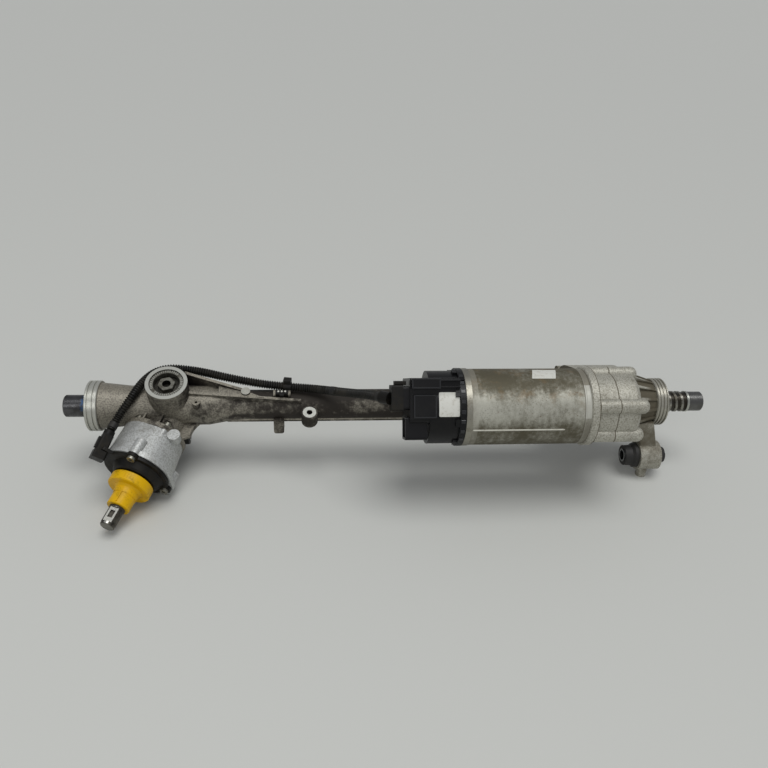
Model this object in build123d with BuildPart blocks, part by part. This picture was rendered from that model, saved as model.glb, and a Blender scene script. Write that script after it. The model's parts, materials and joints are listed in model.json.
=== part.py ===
from build123d import *
import math
import os

os.makedirs("parts", exist_ok=True)

# An electric power steering rack with its motor parallel to the rack bar.
# Millimetres. X runs along the rack bar, Z is up, Y is away from the motor side.
# The origin is the middle of the rack bar's travel, on the bar's own axis.

# ---- rack bar ----
RACK_LENGTH = 791.0
RACK_R = 13.25
RACK_CLEARANCE = 1.2
RACK_END_BORE_R = 7.0
RACK_END_BORE_DEPTH = 30.0
RACK_SCREW_ROOT_R = 12.0
RACK_SCREW_X0 = 146.0
RACK_SCREW_X1 = 373.5
RACK_TRAVEL = 75.0

# ---- rack teeth and pinion, one normal module ----
TOOTH_MODULE = 2.1
PINION_TEETH = 8
PRESSURE_ANGLE = 25.0
ADDENDUM = 0.70
DEDENDUM = 0.95
TOOTH_BACKLASH = 0.10
RACK_TIP_HEIGHT = 10.4
PINION_FACE = 34.0
FLANK_POINTS = 4
PINION_X = -271.5
PINION_LEAN = 20.0
YOKE_TILT = 20.0

# ---- fits ----
SEAT_GAP = 0.05
RUNNING_GAP = 0.05
SOFT_GAP = 0.3

# ---- main casting ----
TUBE_WALL = 3.6
BARREL_R = 24.0
BARREL_X0 = -318.0
BARREL_X1 = -226.0
TUBE_START_X = -194.0
BOSS_R = 24.3
BOSS_HEIGHT = 44.0
TOWER_R = 25.5
TOWER_BACK = 40.0
TOWER_FRONT = 36.0
TOWER_FLANGE = 6.0
TOWER_RIB_PLACES = (16.5, -3.0)
SEAT_COLLAR_R = 30.3
SEAT_COLLAR_L = 14.6
LEFT_SEAT_X = -366.7
SEAT_POCKET_R = 22.0
SEAT_POCKET_DEPTH = 12.0
GROOVE_DEPTH = 1.3
GROOVE_WIDTH = 2.2
END_STOP_L = 5.0
BUSH_OUTER_R = 17.0
BUSH_L = 22.0

# ---- yoke and its adjuster ----
SPRING_WIRE_R = 1.1
SPRING_R = 7.2
SPRING_TURNS = 3
LINER_T = 1.5
YOKE_R = 15.8
YOKE_TOP = 30.4
PLUG_R = 19.9
PLUG_BOTTOM = 29.5
PLUG_TOP = 42.6
PLUG_RECESS_R = 15.4
PLUG_RECESS = 7.0
PLUG_HEX_AF = 17.5
PLUG_HOLE_R = 4.7

# ---- pinion bearings, stations along the pinion axis ----
BALL_BEARING_L0 = 20.0
BALL_BEARING_W = 12.0
BALL_BEARING_R = 20.0
PINION_JOURNAL_R = 8.5
NEEDLE_L0 = -34.0
NEEDLE_W = 12.0
NEEDLE_CUP_R = 11.0
NEEDLE_R = 1.6
NEEDLE_COUNT = 12
LOWER_JOURNAL_R = 6.0
SLEEVE_R = 13.0
SLEEVE_END = 62.0

# ---- torque sensor tower ----
SENSOR_L0 = 42.0
SENSOR_L1 = 82.0
SENSOR_FLANGE = 6.0
SENSOR_WALL = 4.0
SENSOR_TOP_R = 31.5
SENSOR_BASE_R = 36.5
SENSOR_TOP_SHIFT = 11.0
SENSOR_BASE_SHIFT = 6.0
PAD_PLACE = (9, -50, -2)
PAD_R = 7.3
PAD_H = 12
LOBE_PLACE = (-16, -14)
COVER_R = 36.5
COVER_L1 = 101.0
COVER_HUB_R = 16.5
INPUT_R = 9.2
INPUT_L0 = 47.0
INPUT_END = 163.0
INPUT_TIP_R = 8.6
INPUT_NECK_END = 141.0
INPUT_PILOT_L0 = 159.0
INPUT_PILOT_R = 8.2
INPUT_BORE_R = 4.1
TORSION_R = 3.0
TORSION_HEAD_R = 4.0
TORSION_HEAD_L = 9.0
COLLAR_DRUM_R = 25.0
COLLAR_DRUM_L0 = 103.0
COLLAR_DRUM_W = 11.5
COLLAR_NECK_R = 13.2
COLLAR_NECK_END = 138.5

# ---- belt drive ----
BELT_PITCH = 5.0
NUT_PULLEY_TEETH = 48
MOTOR_PULLEY_TEETH = 20
BELT_TEETH = 67
MOTOR_CENTRE = 79.3
MOTOR_ANGLE = 150.1
BELT_X0 = 224.0
BELT_W = 16.0
BELT_BACK = 1.6
BELT_TOOTH_H = 1.7
BELT_TOOTH_W = 2.4
PITCH_LINE_OFFSET = 0.6
GROOVE_GAP = 0.32

# ---- ball nut and its bearing ----
NUT_R = 24.0
NUT_BORE_R = 13.75
NUT_X0 = 222.0
NUT_X1 = 296.0
NUT_BEARING_X0 = 262.0
NUT_BEARING_W = 16.0
NUT_BEARING_R = 38.0

# ---- gear case ----
RIB_COUNT = 14
CONE_CORE_R = 36.0
NUT_CHAMBER_END = 300.0
CASE_X0 = 216.0
CASE_SPLIT = 240.0
CASE_END = 282.0
CASE_MOTOR_END = 268.0
CASE_R = 47.0
CASE_MOTOR_R = 38.5
CASE_WALL = 3.8
CASE_FLOOR = 5.0
CONE_END = 326.0
CONE_END_R = 27.5
RIGHT_SEAT_X = 341.5
RIGHT_SEAT_L = 15.0
RIGHT_GROOVES = (2.2, 6.4, 10.6)
BOSS_TUBE_R = 8.6
BOLT_POST_R = 7.4
DOME_DEPTH = 7.5
CASE_BOLT_R = 3.0

# ---- motor ----
MOTOR_R = 43.6
MOTOR_WALL = 3.4
MOTOR_X0 = 72.5
MOTOR_X1 = 207.0
STATOR_R = 39.9
STATOR_BORE_R = 22.5
STATOR_X0 = 104.0
STATOR_X1 = 176.0
STATOR_SLOTS = 12
STATOR_TOOTH_W = 5.0
COIL_SIDE = 3.2
BORE_TO_FLANGE = 9.5
ROTOR_R = 18.4
MAGNET_T = 2.8
MAGNET_COUNT = 8
SHAFT_R = 7.5
MOTOR_BEARING_R = 16.0
MOTOR_BEARING_W = 9.0
REAR_PLATE_T = 7.0
REAR_PLATE_R = 44.4

# ---- control unit on the motor's tail ----
ECU_TOP = -33.0
ECU_BOTTOM = 16.0
ECU_X0 = 4.0
ECU_X1 = 59.0
ECU_FRONT = 39.0
ECU_BACK = 32.0
ECU_WALL = 2.6
ECU_FLANGE_R = 44.6
ECU_FLANGE_T = 6.5
ECU_LOBE_R = 41.5
ECU_LOBE_X0 = 26.0

# ---- mounting eyes ----
SLEEVE_LONG = 18.0
SLEEVE_SHORT = 9.0
EYE_R = 18.3
EYE_L = 27.0
EYE_BORE_R = 14.0
EYE_DROP = 57.5
FLOOR_DROP = 85.0
EYE_STUB_R = 6.5
RIGHT_EYE_X = 322.7
RIGHT_EYE_Y = -36.5
LEFT_EYE_X = -288.0
LEFT_EYE_Y = 20.0
SLEEVE_BORE_R = 6.1
SLEEVE_TUBE_R = 8.2

# ---- torque sensor's plug and the harness ----
PLUG_T = 12.0
PLUG_WIDTH = 18.0
PLUG_L = 20.0
PLUG_PLACE = (25.0, 42.0)
PLUG_AIM = (0.25, 0.0, -0.97)
CONDUIT_R = 5.2
CONDUIT_WALL = 1.1
BEND_SHARE = 0.45

# ---- screws, at turns from +Y towards +Z ----
VIEW_SIDE = 148.4
MOTOR_SIDE_LOW = 238.4
FRONT_LOW = 210.0
CASE_BOLT_CIRCLE = 37.0
RACK_BOLT_CIRCLE = 49.0
RACK_BOLT_ANGLES = (20.0, 285.0)
TUBE_FLANGE_R = 31.0
TUBE_FLANGE_T = 8.0
TUBE_BOLT_CIRCLE = 25.2
TUBE_BOLT_R = 2.5
TUBE_BOLT_ANGLES = (85.0, 205.0, 325.0)
MOTOR_REGISTER_R = 20.0
MOTOR_SCREW_CIRCLE = 28.0
MOTOR_SCREW_R = 2.5
TOWER_SCREW_R = 2.5
VENT_PLACE = (-62.6, 54.2)


def along(angle, radius):
    """A point at an angle in degrees, measured in the Y-Z plane from +Y."""
    return (radius * math.cos(math.radians(angle)), radius * math.sin(math.radians(angle)))


# ---- directions that follow from the sizes ----
tilt = math.radians(YOKE_TILT)
lean = math.radians(PINION_LEAN)
yoke_dir = Vector(0, -math.sin(tilt), math.cos(tilt))
pinion_dir = Vector(
    -math.sin(lean), -math.cos(lean) * math.cos(tilt), -math.cos(lean) * math.sin(tilt)
)
pitch_r = TOOTH_MODULE * PINION_TEETH / 2
tip_r = pitch_r + ADDENDUM * TOOTH_MODULE
root_r = pitch_r - DEDENDUM * TOOTH_MODULE
centre_distance = RACK_TIP_HEIGHT - ADDENDUM * TOOTH_MODULE + pitch_r
normal_pitch = math.pi * TOOTH_MODULE
rack_pitch = normal_pitch / math.cos(lean)
pinion_centre = Vector(PINION_X, 0, 0) - yoke_dir * centre_distance

RACK_PLANE = Plane(origin=(0, 0, 0), x_dir=(0, 1, 0), z_dir=(1, 0, 0))
YOKE_PLANE = Plane(origin=(PINION_X, 0, 0), x_dir=(1, 0, 0), z_dir=yoke_dir)
PINION_PLANE = Plane(origin=pinion_centre, x_dir=yoke_dir, z_dir=pinion_dir)
motor_y, motor_z = along(MOTOR_ANGLE, MOTOR_CENTRE)
MOTOR_PLANE = Plane(origin=(0, motor_y, motor_z), x_dir=(0, 1, 0), z_dir=(1, 0, 0))

bore_r = RACK_R + RACK_CLEARANCE
tube_r = bore_r + TUBE_WALL
nut_pitch_r = BELT_PITCH * NUT_PULLEY_TEETH / (2 * math.pi)
motor_pitch_r = BELT_PITCH * MOTOR_PULLEY_TEETH / (2 * math.pi)


def turn(plane, profile, mode=Mode.ADD):
    """Revolves (station, radius) points about the plane's normal."""
    side = Plane(origin=plane.origin, x_dir=plane.z_dir, z_dir=plane.x_dir)
    with BuildSketch(side) as section:
        with BuildLine():
            Polyline(*profile, close=True)
        make_face()
    revolve(section.sketch, axis=Axis(plane.origin, plane.z_dir), mode=mode)


def rod(plane, start, end, radius, mode=Mode.ADD):
    """A plain cylinder between two stations along the plane's normal."""
    turn(plane, [(start, 0), (start, radius), (end, radius), (end, 0)], mode)


def tube(plane, start, end, outer, inner, mode=Mode.ADD):
    """A plain ring between two stations along the plane's normal."""
    turn(plane, [(start, inner), (start, outer), (end, outer), (end, inner)], mode)


def column(origin, direction, radius, length, mode=Mode.ADD):
    """A cylinder from a point along a direction."""
    with BuildSketch(Plane(origin=origin, z_dir=direction)) as disc:
        Circle(radius)
    extrude(disc.sketch, amount=length, mode=mode)


def save(builder, name):
    builder.part.label = name
    export_step(builder.part, "parts/" + name + ".step")


# =====================================================================
# Rack bar: round bar, toothed flat under the yoke, ball screw root, end threads
# =====================================================================
rack_teeth_reach = RACK_TRAVEL + 2.5 * rack_pitch
gap_count = int(rack_teeth_reach // rack_pitch)
half_gap = normal_pitch / 4 + TOOTH_BACKLASH
slope = math.tan(math.radians(PRESSURE_ANGLE))
tip_face = centre_distance - RACK_TIP_HEIGHT
floor_face = pitch_r + DEDENDUM * TOOTH_MODULE
half_mouth = half_gap + (pitch_r - tip_face) * slope
half_floor = half_gap - (floor_face - pitch_r) * slope

with BuildPart() as rack_bar:
    end_x = RACK_LENGTH / 2
    turn(
        RACK_PLANE,
        [
            (-end_x, 0),
            (-end_x, RACK_R - 1.5),
            (-end_x + 1.5, RACK_R),
            (RACK_SCREW_X0, RACK_R),
            (RACK_SCREW_X0 + 2, RACK_SCREW_ROOT_R),
            (RACK_SCREW_X1, RACK_SCREW_ROOT_R),
            (RACK_SCREW_X1, RACK_R),
            (RACK_SCREW_X1 + 3, RACK_R),
            (RACK_SCREW_X1 + 4, RACK_R - 0.8),
            (end_x - 1.2, RACK_R - 0.8),
            (end_x, RACK_R - 2),
            (end_x, 0),
        ],
    )
    for side in (-1, 1):
        with BuildSketch(RACK_PLANE.offset(side * end_x)) as bore:
            Circle(RACK_END_BORE_R)
        extrude(bore.sketch, amount=-side * RACK_END_BORE_DEPTH, mode=Mode.SUBTRACT)
    # The tip flat runs a little past the last tooth gap at both ends.
    flat_half = (gap_count + 0.8) * rack_pitch
    with BuildSketch(Plane(origin=pinion_centre, x_dir=(1, 0, 0), z_dir=yoke_dir)) as flat:
        Rectangle(2 * flat_half, 4 * RACK_R)
    extrude(flat.sketch, amount=tip_face, mode=Mode.SUBTRACT)
    for index in range(-gap_count, gap_count + 1):
        place = Plane(
            origin=pinion_centre + Vector(index * rack_pitch, 0, 0),
            x_dir=yoke_dir,
            z_dir=pinion_dir,
        )
        with BuildSketch(place) as gap:
            with BuildLine():
                Polyline(
                    (tip_face - 1, -half_mouth - slope),
                    (floor_face, -half_floor),
                    (floor_face, half_floor),
                    (tip_face - 1, half_mouth + slope),
                    close=True,
                )
            make_face()
        extrude(gap.sketch, amount=2 * RACK_R, both=True, mode=Mode.SUBTRACT)
save(rack_bar, "rack_bar")

# =====================================================================
# Pinion: involute teeth, journals, and the sleeve round the torsion bar
# =====================================================================
base_r = pitch_r * math.cos(math.radians(PRESSURE_ANGLE))


def involute_half_angle(radius):
    """Half of a pinion tooth's angle at a radius."""
    def inv(angle):
        return math.tan(angle) - angle

    at_pitch = (normal_pitch / 4 - TOOTH_BACKLASH) / pitch_r
    pressure = math.acos(min(1.0, base_r / radius))
    return at_pitch + inv(math.radians(PRESSURE_ANGLE)) - inv(pressure)


def polar(radius, angle):
    return (radius * math.cos(angle), radius * math.sin(angle))


flank_radii = [base_r + (tip_r - base_r) * k / (FLANK_POINTS - 1) for k in range(FLANK_POINTS)]

with BuildPart() as pinion_shaft:
    with BuildSketch(PINION_PLANE.offset(-PINION_FACE / 2)) as gear:
        Circle(root_r)
        with PolarLocations(0, PINION_TEETH):
            with BuildLine(mode=Mode.PRIVATE) as tooth:
                flank = [polar(r, involute_half_angle(r)) for r in flank_radii]
                foot = polar(root_r - 0.5, involute_half_angle(base_r))
                mirrored = [(x, -y) for x, y in reversed(flank)]
                Polyline(foot, *flank, *mirrored, (foot[0], -foot[1]), close=True)
            make_face(tooth.edges())
    extrude(gear.sketch, amount=PINION_FACE)
    turn(
        PINION_PLANE,
        [
            (NEEDLE_L0 - 1, 0),
            (NEEDLE_L0 - 1, LOWER_JOURNAL_R),
            (-PINION_FACE / 2, LOWER_JOURNAL_R),
            (-PINION_FACE / 2, root_r),
            (PINION_FACE / 2, root_r),
            (PINION_FACE / 2, PINION_JOURNAL_R + 1.5),
            (BALL_BEARING_L0, PINION_JOURNAL_R + 1.5),
            (BALL_BEARING_L0, PINION_JOURNAL_R),
            (SENSOR_L0, PINION_JOURNAL_R),
            (SENSOR_L0, SLEEVE_R),
            (SLEEVE_END, SLEEVE_R),
            (SLEEVE_END, INPUT_R + 0.6),
            (INPUT_L0 - 1, INPUT_R + 0.6),
            (INPUT_L0 - 1, INPUT_BORE_R),
            (0, INPUT_BORE_R),
            (0, 0),
        ],
    )
    rod(PINION_PLANE, 0, BALL_BEARING_L0, INPUT_BORE_R, Mode.SUBTRACT)
save(pinion_shaft, "pinion_shaft")

with BuildPart() as torsion_bar:
    turn(
        PINION_PLANE,
        [
            (1, 0),
            (1, TORSION_HEAD_R),
            (1 + TORSION_HEAD_L, TORSION_HEAD_R),
            (1 + TORSION_HEAD_L, TORSION_R),
            (INPUT_END - 50, TORSION_R),
            (INPUT_END - 50, TORSION_HEAD_R),
            (INPUT_END - 50 + TORSION_HEAD_L, TORSION_HEAD_R),
            (INPUT_END - 50 + TORSION_HEAD_L, 0),
        ],
    )
save(torsion_bar, "torsion_bar")

with BuildPart() as input_shaft:
    flat_height = INPUT_TIP_R - 1.6
    turn(
        PINION_PLANE,
        [
            (INPUT_L0, INPUT_BORE_R),
            (INPUT_L0, INPUT_R),
            (INPUT_NECK_END, INPUT_R),
            (INPUT_NECK_END, INPUT_TIP_R),
            (INPUT_PILOT_L0, INPUT_TIP_R),
            (INPUT_PILOT_L0, INPUT_PILOT_R),
            (INPUT_END - 1.1, INPUT_PILOT_R),
            (INPUT_END, INPUT_PILOT_R - 1.1),
            (INPUT_END, 0),
            (INPUT_END - 50 + TORSION_HEAD_L + 0.5, 0),
            (INPUT_END - 50 + TORSION_HEAD_L + 0.5, INPUT_BORE_R),
        ],
    )
    # Milled flat and cross groove for the column joint's pinch bolt.
    with BuildSketch(PINION_PLANE.offset(INPUT_NECK_END)) as flat:
        with Locations((flat_height + INPUT_R / 2, 0)):
            Rectangle(INPUT_R, 2 * INPUT_R)
    extrude(flat.sketch, amount=INPUT_PILOT_L0 - INPUT_NECK_END, mode=Mode.SUBTRACT)
    with BuildSketch(PINION_PLANE.offset(INPUT_END - 18)) as groove:
        with Locations((flat_height, 0)):
            Rectangle(3.6, 5.5)
    extrude(groove.sketch, amount=9, mode=Mode.SUBTRACT)
save(input_shaft, "input_shaft")

# Yellow index collar pushed onto the input shaft: drum, flared neck, index rib.
with BuildPart() as index_collar:
    drum_end = COLLAR_DRUM_L0 + COLLAR_DRUM_W
    turn(
        PINION_PLANE,
        [
            (COLLAR_DRUM_L0, COLLAR_NECK_R + 1),
            (COLLAR_DRUM_L0, COLLAR_DRUM_R - 0.8),
            (COLLAR_DRUM_L0 + 0.8, COLLAR_DRUM_R),
            (drum_end - 1, COLLAR_DRUM_R),
            (drum_end, COLLAR_DRUM_R - 1),
            (drum_end, COLLAR_NECK_R + 3.4),
            (drum_end + 2.5, COLLAR_NECK_R + 1.4),
            (drum_end + 9, COLLAR_NECK_R + 0.6),
            (drum_end + 9, COLLAR_NECK_R),
            (COLLAR_NECK_END - 0.8, COLLAR_NECK_R),
            (COLLAR_NECK_END, COLLAR_NECK_R - 0.8),
            (COLLAR_NECK_END, INPUT_R + SEAT_GAP),
            (COLLAR_DRUM_L0 + 6, INPUT_R + SEAT_GAP),
            (COLLAR_DRUM_L0 + 6, COLLAR_NECK_R + 1),
        ],
    )
    with BuildSketch(PINION_PLANE.offset(drum_end)) as rib:
        with Locations((COLLAR_NECK_R, 0)):
            Rectangle(2.6, 0.9)
    extrude(rib.sketch, amount=COLLAR_NECK_END - drum_end - 2)
    for offset in (-4, 4):
        with BuildSketch(PINION_PLANE.offset(COLLAR_DRUM_L0 + 3)) as tick:
            with Locations(Location((0, 0, 0), (0, 0, 180 + offset))):
                with Locations((-COLLAR_DRUM_R, 0)):
                    Rectangle(0.8, 0.8)
        extrude(tick.sketch, amount=6)
save(index_collar, "index_collar")

print("rack pitch", round(rack_pitch, 4), "centre distance", round(centre_distance, 3))
print("belt centres", round(motor_y, 3), round(motor_z, 3))

# =====================================================================
# Main casting: rack tube, pinion barrel, yoke boss, pinion tower, left eye
# =====================================================================
def collar_profile(x0, x1, radius, grooves):
    """Outline of a bellows seat from x0 to x1 with round grooves at given stations."""
    points = [(x0, radius - 1), (x0 + 1, radius)]
    for station in grooves:
        points += [
            (station, radius),
            (station + 0.4, radius - GROOVE_DEPTH),
            (station + GROOVE_WIDTH - 0.4, radius - GROOVE_DEPTH),
            (station + GROOVE_WIDTH, radius),
        ]
    points += [(x1 - 1, radius), (x1, radius - 1)]
    return points


def eye_barrel(x, y):
    """Round eye along X with a short stub down to the surface the rack stands on."""
    with BuildSketch(RACK_PLANE.offset(x - EYE_L / 2)) as ring:
        with Locations((y, -EYE_DROP)):
            Circle(EYE_R)
    extrude(ring.sketch, amount=EYE_L)
    column((x - 3, y - 5, -EYE_DROP), (0, 0, -1), EYE_STUB_R, FLOOR_DROP - EYE_DROP)


def eye_bore(x, y):
    with BuildSketch(RACK_PLANE.offset(x - EYE_L / 2 - 1)) as hole:
        with Locations((y, -EYE_DROP)):
            Circle(EYE_BORE_R)
    extrude(hole.sketch, amount=EYE_L + 2, mode=Mode.SUBTRACT)


def arm(top_centre, top_size, eye_x, eye_y, eye_size):
    """Tapered arm from the casting down to an eye."""
    with BuildSketch(Plane.XY.offset(top_centre[2])) as top:
        with Locations((top_centre[0], top_centre[1])):
            RectangleRounded(top_size[0], top_size[1], 3)
    with BuildSketch(Plane.XY.offset(-EYE_DROP + EYE_R * 0.4)) as low:
        with Locations((eye_x, eye_y)):
            RectangleRounded(eye_size[0], eye_size[1], 3)
    loft([top.sketch, low.sketch])


def yoke_point(along_x, across, height):
    return YOKE_PLANE.from_local_coords(Vector(along_x, across, height))


def wall_rib(start, end, thickness):
    """A standing wall on the tube: start and end are (along, across, height) off the yoke."""
    foot = yoke_point(start[0], start[1], 0)
    run = yoke_point(end[0], end[1], 0) - foot
    plane = Plane(origin=foot, x_dir=run, z_dir=run.cross(yoke_dir))
    with BuildSketch(plane) as side:
        with BuildLine():
            Polyline((0, 4), (0, start[2]), (run.length, end[2]), (run.length, 4), close=True)
        make_face()
    extrude(side.sketch, amount=thickness / 2, both=True)


def circle_points(centre, radius, angles):
    """Points at angles in the Y-Z plane round a centre."""
    return [(centre[0] + along(a, radius)[0], centre[1] + along(a, radius)[1]) for a in angles]


motor_centre = (motor_y, motor_z)
tube_bolt_points = circle_points((0, 0), TUBE_BOLT_CIRCLE, TUBE_BOLT_ANGLES)
motor_screw_points = circle_points(
    motor_centre, MOTOR_SCREW_CIRCLE, [VIEW_SIDE + turn_by for turn_by in (-135, -45, 45, 135)]
)
case_bolt_angles = (MOTOR_SIDE_LOW - 180, VIEW_SIDE, FRONT_LOW)
case_bolt_points = circle_points(motor_centre, CASE_BOLT_CIRCLE, case_bolt_angles) + circle_points(
    (0, 0), RACK_BOLT_CIRCLE, RACK_BOLT_ANGLES
)
tower_screw_points = ((22.5, 24), (-22.5, 24), (25.2, -12), (-18.1, -21.6))

left_seat_end = LEFT_SEAT_X + SEAT_COLLAR_L
left_pocket_end = LEFT_SEAT_X + SEAT_POCKET_DEPTH
spigot_end = CASE_X0 + CASE_FLOOR

with BuildPart() as rack_housing:
    turn(
        RACK_PLANE,
        [(LEFT_SEAT_X, 0)]
        + collar_profile(LEFT_SEAT_X, left_seat_end, SEAT_COLLAR_R, (LEFT_SEAT_X + 3, LEFT_SEAT_X + 9))
        + [
            (left_seat_end, SEAT_COLLAR_R - 2.5),
            (BARREL_X0, BARREL_R),
            (BARREL_X1, BARREL_R),
            (TUBE_START_X, tube_r),
            (CASE_X0 - TUBE_FLANGE_T, tube_r),
            (CASE_X0 - TUBE_FLANGE_T, TUBE_FLANGE_R),
            (CASE_X0, TUBE_FLANGE_R),
            (CASE_X0, tube_r - SEAT_GAP),
            (spigot_end, tube_r - SEAT_GAP),
            (spigot_end, 0),
        ],
    )
    rod(YOKE_PLANE, 0, BOSS_HEIGHT, BOSS_R)
    rod(PINION_PLANE, -14, TOWER_FRONT, TOWER_R)
    rod(PINION_PLANE, -TOWER_BACK, -14, 16)
    # Oval flange that carries the torque sensor tower.
    with BuildSketch(PINION_PLANE.offset(TOWER_FRONT)) as flange:
        Circle(SENSOR_TOP_R + 1)
        with Locations((0, SENSOR_TOP_SHIFT)):
            Circle(SENSOR_TOP_R)
        make_hull()
    extrude(flange.sketch, amount=TOWER_FLANGE)
    # Web between the tower's flank and the tube, hollowed by an arc, with a raised rim.
    with BuildSketch(YOKE_PLANE.offset(-12)) as web:
        with BuildLine():
            ThreePointArc((66, -10), (36.5, -17.5), (24.5, -40))
            Polyline((24.5, -40), (15, -44), (0, -36), (0, 0), (66, -4), (66, -10))
        make_face()
    extrude(web.sketch, amount=4)
    with BuildSketch(YOKE_PLANE.offset(-13.5)) as rim:
        with BuildLine():
            ThreePointArc((66, -10), (36.5, -17.5), (24.5, -40))
            Line((24.5, -40), (22, -38.5))
            ThreePointArc((22, -38.5), (34.5, -15.5), (66, -7))
            Line((66, -7), (66, -10))
        make_face()
    extrude(rim.sketch, amount=7)
    # Two thin ribs brace the tower's flange against the barrel.
    for left in TOWER_RIB_PLACES:
        foot = PINION_PLANE.from_local_coords(Vector(0, left, 0))
        side = Plane(origin=foot, x_dir=pinion_dir, z_dir=pinion_dir.cross(yoke_dir))
        with BuildSketch(side) as brace:
            with BuildLine():
                Polyline((4, 18), (4, 31), (TOWER_FRONT + 1, 30.5), (TOWER_FRONT + 1, 18), close=True)
            make_face()
        extrude(brace.sketch, amount=1, both=True)
    # Two walls run from the yoke boss to the tube and meet at its far end.
    wall_rib((20, -2, 28), (156, -9, 20), 3.6)
    wall_rib((17, 24, 33), (86, 4, 25), 3.6)
    # Past the pocket a plate joins the two walls and carries a round pad.
    with BuildSketch(YOKE_PLANE.offset(8)) as plate:
        with BuildLine():
            Polyline((58, 12.5), (58, -4), (92, -6), (112, -7.5), (86, 5), close=True)
        make_face()
    extrude(plate.sketch, amount=15.5)
    # Cast bosses on the tube.
    column(yoke_point(90, 1, 10), yoke_dir, 5.4, 16)
    column(yoke_point(33, -14, 8), yoke_dir, 4.6, 16)
    column(yoke_point(166, -23.5, -3), yoke_dir, 9.8, 18)
    # Parting rib along the underside on the motor side.
    with BuildSketch(RACK_PLANE.offset(-205)) as seam:
        with Locations(Location((0, 0, 0), (0, 0, 1), MOTOR_SIDE_LOW)):
            with Locations((tube_r + 0.6, 0)):
                Rectangle(4.4, 3)
    extrude(seam.sketch, amount=CASE_X0 - TUBE_FLANGE_T + 205)
    # Hanging lug under the tube.
    with BuildSketch(Plane.XZ.offset(8)) as lug:
        with Locations((-142.7, -19.5)):
            RectangleRounded(12.4, 20, 3)
    extrude(lug.sketch, amount=12)
    # Left mounting eye, behind and under the pinion tower.
    arm((LEFT_EYE_X + 2, 8, -8), (24, 22), LEFT_EYE_X, LEFT_EYE_Y, (21, 16))
    eye_barrel(LEFT_EYE_X, LEFT_EYE_Y)
    # Inside: end pocket, bush seat, rack bore, yoke bore, pinion bore.
    turn(
        RACK_PLANE,
        [
            (LEFT_SEAT_X - 1, 0),
            (LEFT_SEAT_X - 1, SEAT_POCKET_R),
            (left_pocket_end, SEAT_POCKET_R),
            (left_pocket_end, BUSH_OUTER_R + SEAT_GAP),
            (left_pocket_end + BUSH_L, BUSH_OUTER_R + SEAT_GAP),
            (left_pocket_end + BUSH_L, bore_r),
            (spigot_end + 1, bore_r),
            (spigot_end + 1, 0),
        ],
        Mode.SUBTRACT,
    )
    turn(
        YOKE_PLANE,
        [
            (0, 0),
            (0, YOKE_R + SEAT_GAP),
            (PLUG_BOTTOM, YOKE_R + SEAT_GAP),
            (PLUG_BOTTOM, PLUG_R + SEAT_GAP),
            (BOSS_HEIGHT + 1, PLUG_R + SEAT_GAP),
            (BOSS_HEIGHT + 1, 0),
        ],
        Mode.SUBTRACT,
    )
    turn(
        PINION_PLANE,
        [
            (NEEDLE_L0 - 2, 0),
            (NEEDLE_L0 - 2, LOWER_JOURNAL_R + 2),
            (NEEDLE_L0, LOWER_JOURNAL_R + 2),
            (NEEDLE_L0, NEEDLE_CUP_R + SEAT_GAP),
            (NEEDLE_L0 + NEEDLE_W, NEEDLE_CUP_R + SEAT_GAP),
            (NEEDLE_L0 + NEEDLE_W, tip_r + 1),
            (BALL_BEARING_L0, tip_r + 1),
            (BALL_BEARING_L0, BALL_BEARING_R + SEAT_GAP),
            (TOWER_FRONT + TOWER_FLANGE + 1, BALL_BEARING_R + SEAT_GAP),
            (TOWER_FRONT + TOWER_FLANGE + 1, 0),
        ],
        Mode.SUBTRACT,
    )
    eye_bore(LEFT_EYE_X, LEFT_EYE_Y)
    column(yoke_point(166, -23.5, 16), -yoke_dir, 3.4, 13, Mode.SUBTRACT)
    column(yoke_point(33, -14, 25), -yoke_dir, 1.6, 5, Mode.SUBTRACT)
    with BuildSketch(Plane.YZ.offset(CASE_X0)) as tube_holes:
        with Locations(*tube_bolt_points):
            Circle(TUBE_BOLT_R + 0.3)
    extrude(tube_holes.sketch, amount=-TUBE_FLANGE_T, mode=Mode.SUBTRACT)
    # The tower's flange is notched round the sensor housing's pad.
    column(yoke_point(*PAD_PLACE) - yoke_dir * 0.3, yoke_dir, PAD_R + 0.3, PAD_H + 8, Mode.SUBTRACT)
    # Screw holes of the tower flange, with room for the heads beside the tower.
    with BuildSketch(PINION_PLANE.offset(TOWER_FRONT - 10)) as head_room:
        with Locations(*tower_screw_points):
            Circle(TOWER_SCREW_R * 2)
    extrude(head_room.sketch, amount=10, mode=Mode.SUBTRACT)
    with BuildSketch(PINION_PLANE.offset(TOWER_FRONT)) as tower_holes:
        with Locations(*tower_screw_points):
            Circle(TOWER_SCREW_R + 0.3)
    extrude(tower_holes.sketch, amount=TOWER_FLANGE, mode=Mode.SUBTRACT)
save(rack_housing, "rack_housing")
print("housing valid", rack_housing.part.is_valid, len(rack_housing.part.solids()))

# =====================================================================
# Yoke, spring, seal and adjuster plug, all on the yoke's axis
# =====================================================================
liner_r = RACK_R + SOFT_GAP + LINER_T

with BuildPart() as yoke:
    turn(
        YOKE_PLANE,
        [
            (3, 0),
            (3, YOKE_R - 1),
            (4, YOKE_R),
            (17, YOKE_R),
            (17, YOKE_R - 1),
            (19.4, YOKE_R - 1),
            (19.4, YOKE_R),
            (YOKE_TOP, YOKE_R),
            (YOKE_TOP, 9),
            (20, 9),
            (20, 0),
        ],
    )
    rod(RACK_PLANE, PINION_X - 20, PINION_X + 20, liner_r + SEAT_GAP, Mode.SUBTRACT)
save(yoke, "yoke")

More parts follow.
